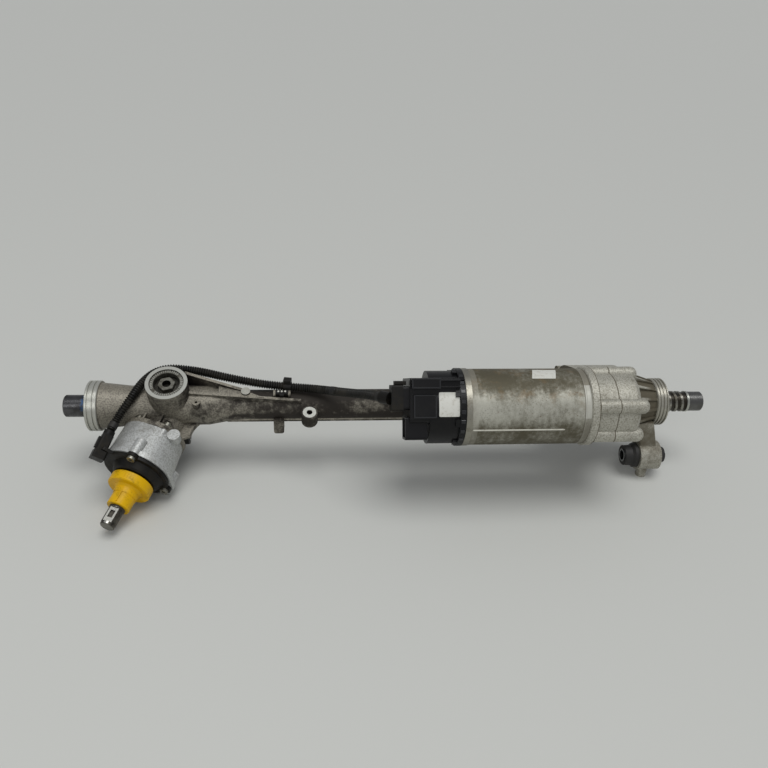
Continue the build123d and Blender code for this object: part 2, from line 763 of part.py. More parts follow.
with BuildPart() as yoke_liner:
    tube(RACK_PLANE, PINION_X - 13, PINION_X + 13, liner_r, RACK_R + SOFT_GAP)
    rod(YOKE_PLANE, 4, 18, YOKE_R - 1, Mode.INTERSECT)
save(yoke_liner, "yoke_liner")

with BuildPart() as yoke_spring:
    spring_foot = 20.0 + SPRING_WIRE_R
    spring_rise = PLUG_TOP - PLUG_RECESS - 3.2 - SPRING_WIRE_R - spring_foot
    with BuildLine() as coil:
        Helix(
            pitch=spring_rise / SPRING_TURNS,
            height=spring_rise,
            radius=SPRING_R,
            center=yoke_point(0, 0, spring_foot),
            direction=yoke_dir,
        )
    coil_wire = coil.wires()[0]
    with BuildSketch(Plane(origin=coil_wire @ 0, z_dir=coil_wire % 0)) as wire:
        Circle(SPRING_WIRE_R)
    sweep(wire.sketch, path=coil_wire, is_frenet=True)
save(yoke_spring, "yoke_spring")

with BuildPart() as yoke_plug:
    recess_floor = PLUG_TOP - PLUG_RECESS
    turn(
        YOKE_PLANE,
        [
            (PLUG_BOTTOM + 1, 9.5),
            (PLUG_BOTTOM + 1, PLUG_R),
            (PLUG_TOP - 0.6, PLUG_R),
            (PLUG_TOP, PLUG_R - 0.6),
            (PLUG_TOP, PLUG_RECESS_R),
            (recess_floor, PLUG_RECESS_R - 0.6),
            (recess_floor, 0),
            (recess_floor - 3, 0),
            (recess_floor - 3, 9.5),
        ],
    )
    with BuildSketch(YOKE_PLANE.offset(recess_floor)) as hexagon:
        RegularPolygon(PLUG_HEX_AF / 2, 6, major_radius=False, rotation=15)
    extrude(hexagon.sketch, amount=PLUG_RECESS - 0.8)
    column(yoke_point(0, 0, PLUG_TOP), -yoke_dir, PLUG_HOLE_R, PLUG_RECESS, Mode.SUBTRACT)
    # Staking notches round the rim.
    with BuildSketch(YOKE_PLANE.offset(PLUG_TOP - 1)) as notch:
        with PolarLocations(PLUG_R - 0.3, 24):
            Rectangle(1.8, 1.6)
    extrude(notch.sketch, amount=2, mode=Mode.SUBTRACT)
save(yoke_plug, "yoke_plug")

# =====================================================================
# Rack bush and end stops
# =====================================================================
with BuildPart() as rack_bush:
    tube(
        RACK_PLANE,
        left_pocket_end + 0.1,
        left_pocket_end + BUSH_L,
        BUSH_OUTER_R,
        RACK_R + RUNNING_GAP,
    )
    # Six slots let the bush spring onto the bar.
    for step in range(6):
        with BuildSketch(RACK_PLANE.offset(left_pocket_end + 6)) as slot:
            with Locations(Location((0, 0, 0), (0, 0, 1), 30 + 60 * step)):
                with Locations((RACK_R + 2, 0)):
                    Rectangle(6, 1.6)
        extrude(slot.sketch, amount=BUSH_L, mode=Mode.SUBTRACT)
save(rack_bush, "rack_bush")

right_pocket_end = RIGHT_SEAT_X - SEAT_POCKET_DEPTH
with BuildPart() as end_stops:
    for start in (left_pocket_end - END_STOP_L, right_pocket_end):
        tube(RACK_PLANE, start, start + END_STOP_L, SEAT_POCKET_R - SEAT_GAP, bore_r + 0.6)
save(end_stops, "end_stops")

# =====================================================================
# Pinion bearings, retainer and nut
# =====================================================================
bearing_end = BALL_BEARING_L0 + BALL_BEARING_W
race_r = (PINION_JOURNAL_R + BALL_BEARING_R) / 2
with BuildPart() as bearing_outer:
    tube(PINION_PLANE, BALL_BEARING_L0 + 0.1, bearing_end, BALL_BEARING_R, race_r + SOFT_GAP / 2)
save(bearing_outer, "pinion_bearing_outer")
with BuildPart() as bearing_inner:
    tube(PINION_PLANE, BALL_BEARING_L0 + 0.1, bearing_end, race_r - SOFT_GAP / 2, PINION_JOURNAL_R + 0.02)
save(bearing_inner, "pinion_bearing_inner")

with BuildPart() as retainer:
    tube(PINION_PLANE, bearing_end + 0.1, bearing_end + 5.5, BALL_BEARING_R, race_r + 1.4)
    with BuildSketch(PINION_PLANE.offset(bearing_end + 3.5)) as slot:
        with PolarLocations(BALL_BEARING_R - 1.5, 4):
            Rectangle(5, 3.4)
    extrude(slot.sketch, amount=3, mode=Mode.SUBTRACT)
save(retainer, "bearing_retainer")

with BuildPart() as pinion_nut:
    with BuildSketch(PINION_PLANE.offset(bearing_end + 0.1)) as nut:
        RegularPolygon(12, 6, major_radius=False)
        Circle(PINION_JOURNAL_R + SEAT_GAP, mode=Mode.SUBTRACT)
    extrude(nut.sketch, amount=7)
save(pinion_nut, "pinion_nut")

with BuildPart() as needle_cup:
    turn(
        PINION_PLANE,
        [
            (NEEDLE_L0, LOWER_JOURNAL_R + 2.2),
            (NEEDLE_L0, NEEDLE_CUP_R),
            (NEEDLE_L0 + NEEDLE_W - 0.1, NEEDLE_CUP_R),
            (NEEDLE_L0 + NEEDLE_W - 0.1, NEEDLE_CUP_R - 1.3),
            (NEEDLE_L0 + 1, NEEDLE_CUP_R - 1.3),
            (NEEDLE_L0 + 1, LOWER_JOURNAL_R + 2.2),
        ],
    )
save(needle_cup, "needle_cup")

with BuildPart() as needle_rollers:
    with BuildSketch(PINION_PLANE.offset(NEEDLE_L0 + 1.3)) as rollers:
        with PolarLocations(LOWER_JOURNAL_R + RUNNING_GAP + NEEDLE_R, NEEDLE_COUNT):
            Circle(NEEDLE_R)
    extrude(rollers.sketch, amount=NEEDLE_W - 2.6)
save(needle_rollers, "needle_rollers")

# =====================================================================
# Torque sensor tower
# =====================================================================
def oval(plane, radius, shift, second_radius):
    """Hull of the shaft circle and a second circle shifted away from the motor."""
    with BuildSketch(plane) as outline:
        Circle(radius)
        with Locations((0, shift)):
            Circle(second_radius)
        make_hull()
    return outline.sketch


cover_start = SENSOR_L1 + SENSOR_FLANGE
# The flange's lobe reaches down to the level of the eye stubs.
lobe_height = PINION_PLANE.from_local_coords(Vector(*LOBE_PLACE, cover_start)).Z
lobe_r = (FLOOR_DROP + lobe_height) / math.sqrt(1 - pinion_dir.Z**2)

with BuildPart() as sensor_housing:
    loft(
        [
            oval(PINION_PLANE.offset(SENSOR_L0), SENSOR_TOP_R, SENSOR_TOP_SHIFT, SENSOR_TOP_R),
            oval(PINION_PLANE.offset(SENSOR_L1), SENSOR_BASE_R, SENSOR_BASE_SHIFT, SENSOR_BASE_R),
        ]
    )
    # End flange with a lobe low on the motor side.
    with BuildSketch(PINION_PLANE.offset(SENSOR_L1)) as flange:
        Circle(SENSOR_BASE_R + 2)
        with Locations((0, SENSOR_BASE_SHIFT)):
            Circle(SENSOR_BASE_R + 1)
        with Locations(LOBE_PLACE):
            Circle(lobe_r)
        make_hull()
    extrude(flange.sketch, amount=SENSOR_FLANGE)
    # Columns inside for the tower screws.
    with BuildSketch(PINION_PLANE.offset(SENSOR_L0)) as columns:
        with Locations(*tower_screw_points):
            Circle(5)
    columns_of_metal = columns.sketch
    # Screw bosses along the wall.
    with BuildSketch(PINION_PLANE.offset(SENSOR_L1 - 14)) as bosses:
        with PolarLocations(COVER_R - 1, 3):
            Circle(6.5)
    extrude(bosses.sketch, amount=14 + SENSOR_FLANGE)
    # Round pad standing on the side wall, parallel to the yoke.
    column(yoke_point(*PAD_PLACE), yoke_dir, PAD_R, PAD_H)
    # Hollow for the sensor.
    loft(
        [
            oval(
                PINION_PLANE.offset(SENSOR_L0 + 4),
                SENSOR_TOP_R - SENSOR_WALL,
                SENSOR_TOP_SHIFT,
                SENSOR_TOP_R - SENSOR_WALL,
            ),
            oval(
                PINION_PLANE.offset(cover_start),
                SENSOR_BASE_R - SENSOR_WALL - 1,
                SENSOR_BASE_SHIFT,
                SENSOR_BASE_R - SENSOR_WALL - 1,
            ),
        ],
        mode=Mode.SUBTRACT,
    )
    extrude(columns_of_metal, amount=15)
    with BuildSketch(PINION_PLANE.offset(SENSOR_L0)) as tapped:
        with Locations(*tower_screw_points):
            Circle(TOWER_SCREW_R + SEAT_GAP)
    extrude(tapped.sketch, amount=12, mode=Mode.SUBTRACT)
    rod(PINION_PLANE, SENSOR_L0 - 1, SENSOR_L0 + 5, BALL_BEARING_R - 1, Mode.SUBTRACT)
    with BuildSketch(PINION_PLANE.offset(cover_start)) as holes:
        with PolarLocations(COVER_R - 1, 3):
            Circle(2.6)
    extrude(holes.sketch, amount=-14, mode=Mode.SUBTRACT)
save(sensor_housing, "sensor_housing")

plug_base = PINION_PLANE.from_local_coords(Vector(*PLUG_PLACE, cover_start + 4.5))
# The plug points back along the tower and leans outwards a little.
plug_axis = (PINION_PLANE.from_local_coords(Vector(*PLUG_AIM)) - pinion_centre).normalized()
plug_outward = PINION_PLANE.from_local_coords(Vector(PLUG_PLACE[0], PLUG_PLACE[1], 0)) - pinion_centre
plug_tangent = pinion_dir.cross(plug_outward)
PLUG_PLANE = Plane(origin=plug_base, x_dir=plug_axis.cross(plug_tangent), z_dir=plug_axis)

with BuildPart() as sensor_cover:
    with BuildSketch(PINION_PLANE.offset(cover_start)) as plate:
        Circle(COVER_R)
        with Locations((0, SENSOR_BASE_SHIFT)):
            Circle(COVER_R - 1)
        make_hull()
        with Locations(Location((19, 32, 0), (0, 0, 59))):
            RectangleRounded(26, PLUG_WIDTH + 6, 3)
        with PolarLocations(COVER_R - 1, 3):
            Circle(6.8)
    extrude(plate.sketch, amount=4)
    # Dished centre with a hub for the seal.
    turn(
        PINION_PLANE,
        [
            (cover_start + 3, COVER_HUB_R),
            (cover_start + 3, COVER_R - 5),
            (cover_start + 6, COVER_R - 7),
            (COVER_L1 - 2, 27),
            (COVER_L1, 25),
            (COVER_L1, COVER_HUB_R),
        ],
    )
    # Connector shroud on the left edge.
    with BuildSketch(PLUG_PLANE.offset(-8)) as shroud:
        RectangleRounded(PLUG_T + 3, PLUG_WIDTH + 3, 2)
    extrude(shroud.sketch, amount=9.6)
    with BuildSketch(PLUG_PLANE.offset(1.6)) as plug_room:
        with Locations((1.4, 0)):
            Rectangle(PLUG_T + 3.6, PLUG_WIDTH + 0.8)
    extrude(plug_room.sketch, amount=PLUG_L, mode=Mode.SUBTRACT)
    rod(PINION_PLANE, cover_start - 1, COVER_L1 + 1, 14.6, Mode.SUBTRACT)
    tube(PINION_PLANE, cover_start - 1, cover_start + 3, 24, 14, Mode.SUBTRACT)
    with BuildSketch(PINION_PLANE.offset(cover_start - 1)) as holes:
        with PolarLocations(COVER_R - 1, 3):
            Circle(2.9)
    extrude(holes.sketch, amount=8, mode=Mode.SUBTRACT)
save(sensor_cover, "sensor_cover")

with BuildPart() as cover_screws:
    with BuildSketch(PINION_PLANE.offset(cover_start + 4)) as heads:
        with PolarLocations(COVER_R - 1, 3):
            Circle(4.6)
    extrude(heads.sketch, amount=3.4)
    with BuildSketch(PINION_PLANE.offset(cover_start + 4)) as shanks:
        with PolarLocations(COVER_R - 1, 3):
            Circle(2.5)
    extrude(shanks.sketch, amount=-14)
    with BuildSketch(PINION_PLANE.offset(cover_start + 4 + 3.4)) as sockets:
        with PolarLocations(COVER_R - 1, 3):
            RegularPolygon(2.2, 6)
    extrude(sockets.sketch, amount=-2, mode=Mode.SUBTRACT)
save(cover_screws, "cover_screws")

with BuildPart() as tower_screws:
    with BuildSketch(PINION_PLANE.offset(TOWER_FRONT)) as heads:
        with Locations(*tower_screw_points):
            Circle(4.3)
    extrude(heads.sketch, amount=-4.5)
    with BuildSketch(PINION_PLANE.offset(TOWER_FRONT)) as shanks:
        with Locations(*tower_screw_points):
            Circle(TOWER_SCREW_R)
    extrude(shanks.sketch, amount=TOWER_FLANGE + 11)
    with BuildSketch(PINION_PLANE.offset(TOWER_FRONT - 4.5)) as sockets:
        with Locations(*tower_screw_points):
            RegularPolygon(2.3, 6)
    extrude(sockets.sketch, amount=2.5, mode=Mode.SUBTRACT)
save(tower_screws, "tower_screws")

with BuildPart() as shaft_seal:
    tube(PINION_PLANE, COVER_L1 - 6, COVER_L1 - 0.5, 14.6 - SEAT_GAP, INPUT_R + RUNNING_GAP)
save(shaft_seal, "shaft_seal")

with BuildPart() as sensor_magnet:
    tube(PINION_PLANE, SLEEVE_END + 2, SLEEVE_END + 10, 14, INPUT_R + SEAT_GAP)
save(sensor_magnet, "sensor_magnet")

with BuildPart() as flux_rings:
    for start in (SLEEVE_END + 2, SLEEVE_END + 8):
        tube(PINION_PLANE, start, start + 1.6, 18, 14.6)
    tube(PINION_PLANE, SLEEVE_END - 6, SLEEVE_END + 9.6, 19.4, 18)
    tube(PINION_PLANE, SLEEVE_END - 6, SLEEVE_END - 3, 18, SLEEVE_R + SEAT_GAP)
save(flux_rings, "flux_rings")

with BuildPart() as sensor_plug:
    with BuildSketch(PLUG_PLANE.offset(1.6)) as body:
        RectangleRounded(PLUG_T, PLUG_WIDTH, 2)
    extrude(body.sketch, amount=PLUG_L)
    with BuildSketch(PLUG_PLANE.offset(1.6 + PLUG_L)) as neck:
        Circle(CONDUIT_R + 1)
    extrude(neck.sketch, amount=6)
    with BuildSketch(PLUG_PLANE.offset(4)) as latch:
        with Locations((PLUG_T / 2 + 1, 0)):
            RectangleRounded(3, 9, 0.8)
    extrude(latch.sketch, amount=13)
save(sensor_plug, "sensor_plug")
plug_mouth = PLUG_PLANE.from_local_coords(Vector(0, 0, PLUG_L + 7.6))
print("plug mouth", plug_mouth, "axis", plug_axis)

# =====================================================================
# Belt case: housing half with the chamber, cover half with the nut's cone
# =====================================================================
def case_outline(station, rack_r, motor_r):
    """Hull of a circle round the rack and a circle round the motor."""
    with BuildSketch(Plane.YZ.offset(station)) as outline:
        Circle(rack_r)
        with Locations((motor_y, motor_z)):
            Circle(motor_r)
        make_hull()
    return outline.sketch


def chamber(station, length, post_r):
    """Cuts the belt chamber, leaving a post round each bolt hole."""
    with BuildSketch(Plane.YZ.offset(station)) as room:
        Circle(CASE_R - CASE_WALL)
        with Locations(motor_centre):
            Circle(CASE_MOTOR_R - CASE_WALL)
        make_hull()
        with Locations(*case_bolt_points):
            Circle(post_r, mode=Mode.SUBTRACT)
    extrude(room.sketch, amount=length, mode=Mode.SUBTRACT)


def yz_discs(station, points, radius, length, mode=Mode.ADD):
    """Cylinders along X from a station, one at each point."""
    with BuildSketch(Plane.YZ.offset(station)) as discs:
        with Locations(*points):
            Circle(radius)
    extrude(discs.sketch, amount=length, mode=mode)


with BuildPart() as gear_housing:
    depth = CASE_SPLIT - CASE_X0
    extrude(case_outline(CASE_X0, CASE_R, CASE_MOTOR_R), amount=depth)
    yz_discs(CASE_X0, case_bolt_points, BOSS_TUBE_R, depth)
    chamber(spigot_end, 4, BOLT_POST_R)
    chamber(spigot_end + 4, depth, CASE_BOLT_R + 2.6)
    yz_discs(CASE_X0, case_bolt_points, CASE_BOLT_R + SOFT_GAP, depth, Mode.SUBTRACT)
    yz_discs(CASE_X0, case_bolt_points, 5.6, 6.5, Mode.SUBTRACT)
    # Registers for the rack tube's spigot and for the motor.
    rod(RACK_PLANE, CASE_X0 - 1, spigot_end + 1, tube_r + SEAT_GAP, Mode.SUBTRACT)
    rod(MOTOR_PLANE, CASE_X0 - 1, spigot_end + 1, MOTOR_REGISTER_R + SEAT_GAP, Mode.SUBTRACT)
    yz_discs(CASE_X0, tube_bolt_points, TUBE_BOLT_R + SEAT_GAP, CASE_FLOOR, Mode.SUBTRACT)
    yz_discs(CASE_X0, motor_screw_points, MOTOR_SCREW_R + SOFT_GAP, CASE_FLOOR, Mode.SUBTRACT)
save(gear_housing, "gear_housing")

right_seat_start = RIGHT_SEAT_X - RIGHT_SEAT_L
right_grooves = [right_seat_start + k for k in RIGHT_GROOVES]
with BuildPart() as gear_cover:
    # Motor side with a rounded end.
    extrude(case_outline(CASE_SPLIT, CASE_R - 1, CASE_MOTOR_R), amount=CASE_MOTOR_END - CASE_SPLIT)
    fillet(faces().sort_by(Axis.X)[-1].edges(), 7)
    # Nut side: drum, then a core cone with ribs that rise to the outer cone.
    turn(
        RACK_PLANE,
        [
            (CASE_SPLIT, 0),
            (CASE_SPLIT, CASE_R),
            (CASE_END - 2.5, CASE_R),
            (CASE_END, CASE_R - 2.5),
            (CASE_END, CONE_CORE_R),
            (CONE_END, CONE_END_R - 1),
            (right_seat_start, CONE_END_R - 1),
        ]
        + collar_profile(right_seat_start, RIGHT_SEAT_X, 30, right_grooves)
        + [(RIGHT_SEAT_X, 0)],
    )
    for step in range(RIB_COUNT):
        angle = 142 - step * 360 / RIB_COUNT
        radial = Vector(0, *along(angle, 1))
        with BuildSketch(Plane(origin=(0, 0, 0), x_dir=(1, 0, 0), z_dir=Vector(1, 0, 0).cross(radial))) as rib:
            with BuildLine():
                Polyline(
                    (CASE_END - 1, CASE_R - 14),
                    (CASE_END - 1, CASE_R - 3),
                    (CONE_END, CONE_END_R + 1),
                    (right_seat_start + 1, CONE_END_R + 1),
                    (right_seat_start + 1, CONE_END_R - 4),
                    (CONE_END, CONE_END_R - 5),
                    close=True,
                )
            make_face()
        extrude(rib.sketch, amount=1.6, both=True)
    # Bolt bosses with domed ends.
    boss_ends = (CASE_MOTOR_END + 8, CASE_MOTOR_END + 7, CASE_MOTOR_END + 8, CASE_END - 10, CASE_END - 10)
    for point, boss_end in zip(case_bolt_points, boss_ends):
        boss_plane = Plane(origin=(0, point[0], point[1]), x_dir=(0, 1, 0), z_dir=(1, 0, 0))
        turn(
            boss_plane,
            [
                (CASE_SPLIT, 0),
                (CASE_SPLIT, BOSS_TUBE_R),
                *[
                    (
                        boss_end - DOME_DEPTH * (1 - math.sin(math.radians(a))),
                        BOSS_TUBE_R * math.cos(math.radians(a)),
                    )
                    for a in range(0, 90, 18)
                ],
                (boss_end, 0),
            ],
        )
    # Arm down to the right mounting eye.
    arm((RIGHT_EYE_X - 9.5, -20, -12), (24, 28), RIGHT_EYE_X, RIGHT_EYE_Y, (21, 18))
    eye_barrel(RIGHT_EYE_X, RIGHT_EYE_Y)
    # Boss for the vent plug.
    column((CASE_MOTOR_END - 12, *VENT_PLACE), (1, 0, 0), 5.5, 14)
    # Inside: pulley chamber, bearing seat, nut chamber, rack bore, end pocket.
    chamber(CASE_SPLIT, 6, CASE_BOLT_R + 2.6)
    rod(MOTOR_PLANE, CASE_SPLIT, CASE_MOTOR_END - 6, 24, Mode.SUBTRACT)
    turn(
        RACK_PLANE,
        [
            (CASE_SPLIT - 1, 0),
            (CASE_SPLIT - 1, NUT_BEARING_R + SEAT_GAP),
            (NUT_BEARING_X0 + NUT_BEARING_W, NUT_BEARING_R + SEAT_GAP),
            (NUT_BEARING_X0 + NUT_BEARING_W, NUT_R + 4),
            (NUT_CHAMBER_END, NUT_R + 4),
            (NUT_CHAMBER_END, bore_r),
            (right_pocket_end, bore_r),
            (right_pocket_end, SEAT_POCKET_R),
            (RIGHT_SEAT_X + 1, SEAT_POCKET_R),
            (RIGHT_SEAT_X + 1, 0),
        ],
        Mode.SUBTRACT,
    )
    yz_discs(CASE_SPLIT, case_bolt_points, CASE_BOLT_R + SEAT_GAP, 16, Mode.SUBTRACT)
    column((CASE_MOTOR_END - 14, *VENT_PLACE), (1, 0, 0), 3 + SEAT_GAP, 20, Mode.SUBTRACT)
    eye_bore(RIGHT_EYE_X, RIGHT_EYE_Y)
save(gear_cover, "gear_cover")
print("gear case", gear_housing.part.is_valid, len(gear_housing.part.solids()))
print("gear cover", gear_cover.part.is_valid, len(gear_cover.part.solids()))

with BuildPart() as vent_plug:
    column((CASE_MOTOR_END - 6, *VENT_PLACE), (1, 0, 0), 3, 8)
    column((CASE_MOTOR_END + 2, *VENT_PLACE), (1, 0, 0), 4.2, 3)
save(vent_plug, "vent_plug")


def cap_screws(name, start, points, radius, head_r, head_l, length, side):
    """Socket screws along X: heads on one side of the start station, shanks on the other."""
    with BuildPart() as screws:
        yz_discs(start, points, head_r, -side * head_l)
        yz_discs(start, points, radius, side * length)
        with BuildSketch(Plane.YZ.offset(start - side * head_l)) as sockets:
            with Locations(*points):
                RegularPolygon(head_r * 0.52, 6)
        extrude(sockets.sketch, amount=side * head_l * 0.55, mode=Mode.SUBTRACT)
    save(screws, name)


cap_screws("case_bolts", CASE_X0 + 6.5, case_bolt_points, CASE_BOLT_R, 5.2, 6, CASE_SPLIT + 7 - CASE_X0, 1)
cap_screws(
    "tube_bolts",
    CASE_X0 - TUBE_FLANGE_T,
    tube_bolt_points,
    TUBE_BOLT_R,
    4.3,
    5,
    TUBE_FLANGE_T + CASE_FLOOR - 0.5,
    1,
)
cap_screws("motor_screws", spigot_end, motor_screw_points, MOTOR_SCREW_R, 4.5, 2.4, 12, -1)

# =====================================================================
# Ball nut, its pulley and bearing, and the belt drive
# =====================================================================
with BuildPart() as ball_nut:
    turn(
        RACK_PLANE,
        [
            (NUT_X0, NUT_BORE_R),
            (NUT_X0, NUT_R - 2),
            (BELT_X0 + BELT_W, NUT_R - 2),
            (BELT_X0 + BELT_W, NUT_R),
            (NUT_X1 - 1, NUT_R),
            (NUT_X1, NUT_R - 1),
            (NUT_X1, NUT_BORE_R),
        ],
    )
save(ball_nut, "ball_nut")


def grooved_outline(teeth, outer_r):
    """Pulley outline: a circle with one trapezoid groove per belt tooth."""
    with BuildSketch(Plane.YZ) as outline:
        Circle(outer_r)
        with PolarLocations(outer_r - (BELT_TOOTH_H + GROOVE_GAP) / 2 + 0.2, teeth):
            Trapezoid(
                BELT_TOOTH_W + 2 * GROOVE_GAP,
                BELT_TOOTH_H + GROOVE_GAP + 0.4,
                82,
                rotation=90,
                mode=Mode.SUBTRACT,
            )
    return outline.sketch


NUT_GROOVED_R = nut_pitch_r - PITCH_LINE_OFFSET
MOTOR_GROOVED_R = motor_pitch_r - PITCH_LINE_OFFSET
with BuildPart() as nut_pulley:
    face = grooved_outline(NUT_PULLEY_TEETH, NUT_GROOVED_R)
    turned = face.rotate(Axis.X, MOTOR_ANGLE).moved(Location((BELT_X0, 0, 0)))
    extrude(turned, amount=BELT_W, dir=(1, 0, 0))
    # Dished side towards the bearing, bore on the nut.
    tube(RACK_PLANE, BELT_X0 + 7, BELT_X0 + BELT_W + 1, NUT_GROOVED_R - 4.5, NUT_R + 3, Mode.SUBTRACT)
    rod(RACK_PLANE, BELT_X0 - 1, BELT_X0 + BELT_W + 1, NUT_R - 2 + SEAT_GAP, Mode.SUBTRACT)
save(nut_pulley, "nut_pulley")

with BuildPart() as motor_pulley:
    face = grooved_outline(MOTOR_PULLEY_TEETH, MOTOR_GROOVED_R)
    turned = face.rotate(Axis.X, MOTOR_ANGLE + 180 + 180 / MOTOR_PULLEY_TEETH)
    extrude(turned.moved(Location((BELT_X0, motor_y, motor_z))), amount=BELT_W, dir=(1, 0, 0))
    tube(MOTOR_PLANE, BELT_X0 + BELT_W, BELT_X0 + BELT_W + 1.5, motor_pitch_r + 1.6, SHAFT_R + 2)
    rod(MOTOR_PLANE, BELT_X0 - 1, BELT_X0 + BELT_W + 2, SHAFT_R + SEAT_GAP, Mode.SUBTRACT)
save(motor_pulley, "motor_pulley")

# The belt runs on both pitch circles and the two straights between them.
belt_lean = math.degrees(math.asin((nut_pitch_r - motor_pitch_r) / MOTOR_CENTRE))
straight = MOTOR_CENTRE * math.cos(math.radians(belt_lean))
nut_half_wrap = math.radians(90 + belt_lean) * nut_pitch_r
motor_half_wrap = math.radians(90 - belt_lean) * motor_pitch_r
belt_length = 2 * (nut_half_wrap + straight + motor_half_wrap)
print("belt length", round(belt_length, 2), "of", BELT_TEETH * BELT_PITCH)


def belt_place(distance):
    """Point, run direction and outward direction of the pitch line.

    Worked in a frame with the nut at the origin and the motor along +u; the
    distance starts on the far side of the nut from the motor.
    """
    half = belt_length / 2
    mirrored = distance > half
    run = belt_length - distance if mirrored else distance
    if run < nut_half_wrap:
        angle = math.pi - run / nut_pitch_r
        centre, radius = 0.0, nut_pitch_r
        outward = (math.cos(angle), math.sin(angle))
        point = (radius * outward[0], radius * outward[1])
    elif run < nut_half_wrap + straight:
        angle = math.radians(90 - belt_lean)
        outward = (math.cos(angle), math.sin(angle))
        part_way = run - nut_half_wrap
        point = (
            nut_pitch_r * outward[0] + part_way * outward[1],
            nut_pitch_r * outward[1] - part_way * outward[0],
        )
    else:
        angle = math.radians(90 - belt_lean) - (run - nut_half_wrap - straight) / motor_pitch_r
        outward = (math.cos(angle), math.sin(angle))
        point = (
            MOTOR_CENTRE + motor_pitch_r * outward[0],
            motor_pitch_r * outward[1],
        )
    if mirrored:
        point = (point[0], -point[1])
        outward = (outward[0], -outward[1])
    return point, outward


turn_in = math.radians(MOTOR_ANGLE)


def to_yz(u, v):
    return (u * math.cos(turn_in) - v * math.sin(turn_in), u * math.sin(turn_in) + v * math.cos(turn_in))


def belt_loop(offset):
    """Face bounded by the pitch line moved outward by an offset."""
    with BuildSketch(Plane.YZ.offset(BELT_X0 + 0.4)) as loop:
        Circle(nut_pitch_r + offset)
        with Locations(motor_centre):
            Circle(motor_pitch_r + offset)
        make_hull()
    return loop.sketch


with BuildPart() as drive_belt:
    band = BELT_W - 0.8
    extrude(belt_loop(BELT_BACK - PITCH_LINE_OFFSET), amount=band)
    extrude(belt_loop(-PITCH_LINE_OFFSET + RUNNING_GAP), amount=band, mode=Mode.SUBTRACT)
    with BuildSketch(Plane.YZ.offset(BELT_X0 + 0.4)) as teeth:
        for index in range(BELT_TEETH):
            point, outward = belt_place(index * belt_length / BELT_TEETH)
            root = PITCH_LINE_OFFSET - RUNNING_GAP - 0.2
            inner = PITCH_LINE_OFFSET + BELT_TOOTH_H
            corners = []
            for depth, half in (
                (root, BELT_TOOTH_W / 2),
                (inner, BELT_TOOTH_W / 2 - 0.25),
                (inner, -BELT_TOOTH_W / 2 + 0.25),
                (root, -BELT_TOOTH_W / 2),
            ):
                u = point[0] - depth * outward[0] - half * outward[1]
                v = point[1] - depth * outward[1] + half * outward[0]
                corners.append(to_yz(u, v))
            with BuildLine():
                Polyline(*corners, close=True)
            make_face()
    extrude(teeth.sketch, amount=band)
save(drive_belt, "drive_belt")
print("belt", drive_belt.part.is_valid, len(drive_belt.part.solids()))

bearing_x1 = NUT_BEARING_X0 + NUT_BEARING_W
nut_race_r = (NUT_R + NUT_BEARING_R) / 2
with BuildPart() as nut_bearing_inner:
    tube(RACK_PLANE, NUT_BEARING_X0, bearing_x1, nut_race_r - SOFT_GAP / 2, NUT_R + 0.02)
save(nut_bearing_inner, "nut_bearing_inner")
with BuildPart() as nut_bearing_outer:
    tube(RACK_PLANE, NUT_BEARING_X0, bearing_x1, NUT_BEARING_R, nut_race_r + SOFT_GAP / 2)
save(nut_bearing_outer, "nut_bearing_outer")
with BuildPart() as bearing_ring:
    tube(RACK_PLANE, NUT_BEARING_X0 - 8, NUT_BEARING_X0 - 0.1, NUT_BEARING_R, NUT_BEARING_R - 6)
    with BuildSketch(RACK_PLANE.offset(NUT_BEARING_X0 - 8)) as slots:
        with PolarLocations(NUT_BEARING_R - 3, 6):
            Rectangle(8, 4)
    extrude(slots.sketch, amount=3, mode=Mode.SUBTRACT)
save(bearing_ring, "bearing_ring")
with BuildPart() as lock_nut:
    with BuildSketch(RACK_PLANE.offset(NUT_BEARING_X0 - 12)) as ring:
        Circle(NUT_R + 4.5)
        Circle(NUT_R + SEAT_GAP, mode=Mode.SUBTRACT)
        with PolarLocations(NUT_R + 4.5, 6):
            Rectangle(4, 5, mode=Mode.SUBTRACT)
    extrude(ring.sketch, amount=11.9)
save(lock_nut, "lock_nut")

# =====================================================================
# Motor
# =====================================================================
front_bearing_x0 = MOTOR_X1 - 3
rear_bearing_x0 = MOTOR_X0 - 3
with BuildPart() as motor_flange:
    turn(
        MOTOR_PLANE,
        [
            (front_bearing_x0, MOTOR_BEARING_R + SEAT_GAP),
            (front_bearing_x0, MOTOR_BEARING_R + 3.4),
            (MOTOR_X1, MOTOR_BEARING_R + 3.4),
            (MOTOR_X1, MOTOR_R + 0.4),
            (MOTOR_X1 + 0.8, MOTOR_R + 1.9),
            (CASE_X0, MOTOR_R + 1.9),
            (CASE_X0, MOTOR_REGISTER_R),
            (spigot_end - 0.5, MOTOR_REGISTER_R),
            (spigot_end - 0.5, BORE_TO_FLANGE),
            (front_bearing_x0 + MOTOR_BEARING_W, BORE_TO_FLANGE),
            (front_bearing_x0 + MOTOR_BEARING_W, MOTOR_BEARING_R + SEAT_GAP),
        ],
    )
    yz_discs(CASE_X0, motor_screw_points, MOTOR_SCREW_R + SEAT_GAP, -7, Mode.SUBTRACT)
save(motor_flange, "motor_flange")

with BuildPart() as motor_housing:
    turn(
        MOTOR_PLANE,
        [
            (MOTOR_X0, MOTOR_R - MOTOR_WALL),
            (MOTOR_X0, MOTOR_R),
            (MOTOR_X1 - 6, MOTOR_R),
            (MOTOR_X1 - 5.2, MOTOR_R - 0.8),
            (MOTOR_X1 - 1.2, MOTOR_R - 0.8),
            (MOTOR_X1, MOTOR_R),
            (MOTOR_X1, MOTOR_R - MOTOR_WALL),
        ],
    )
save(motor_housing, "motor_housing")

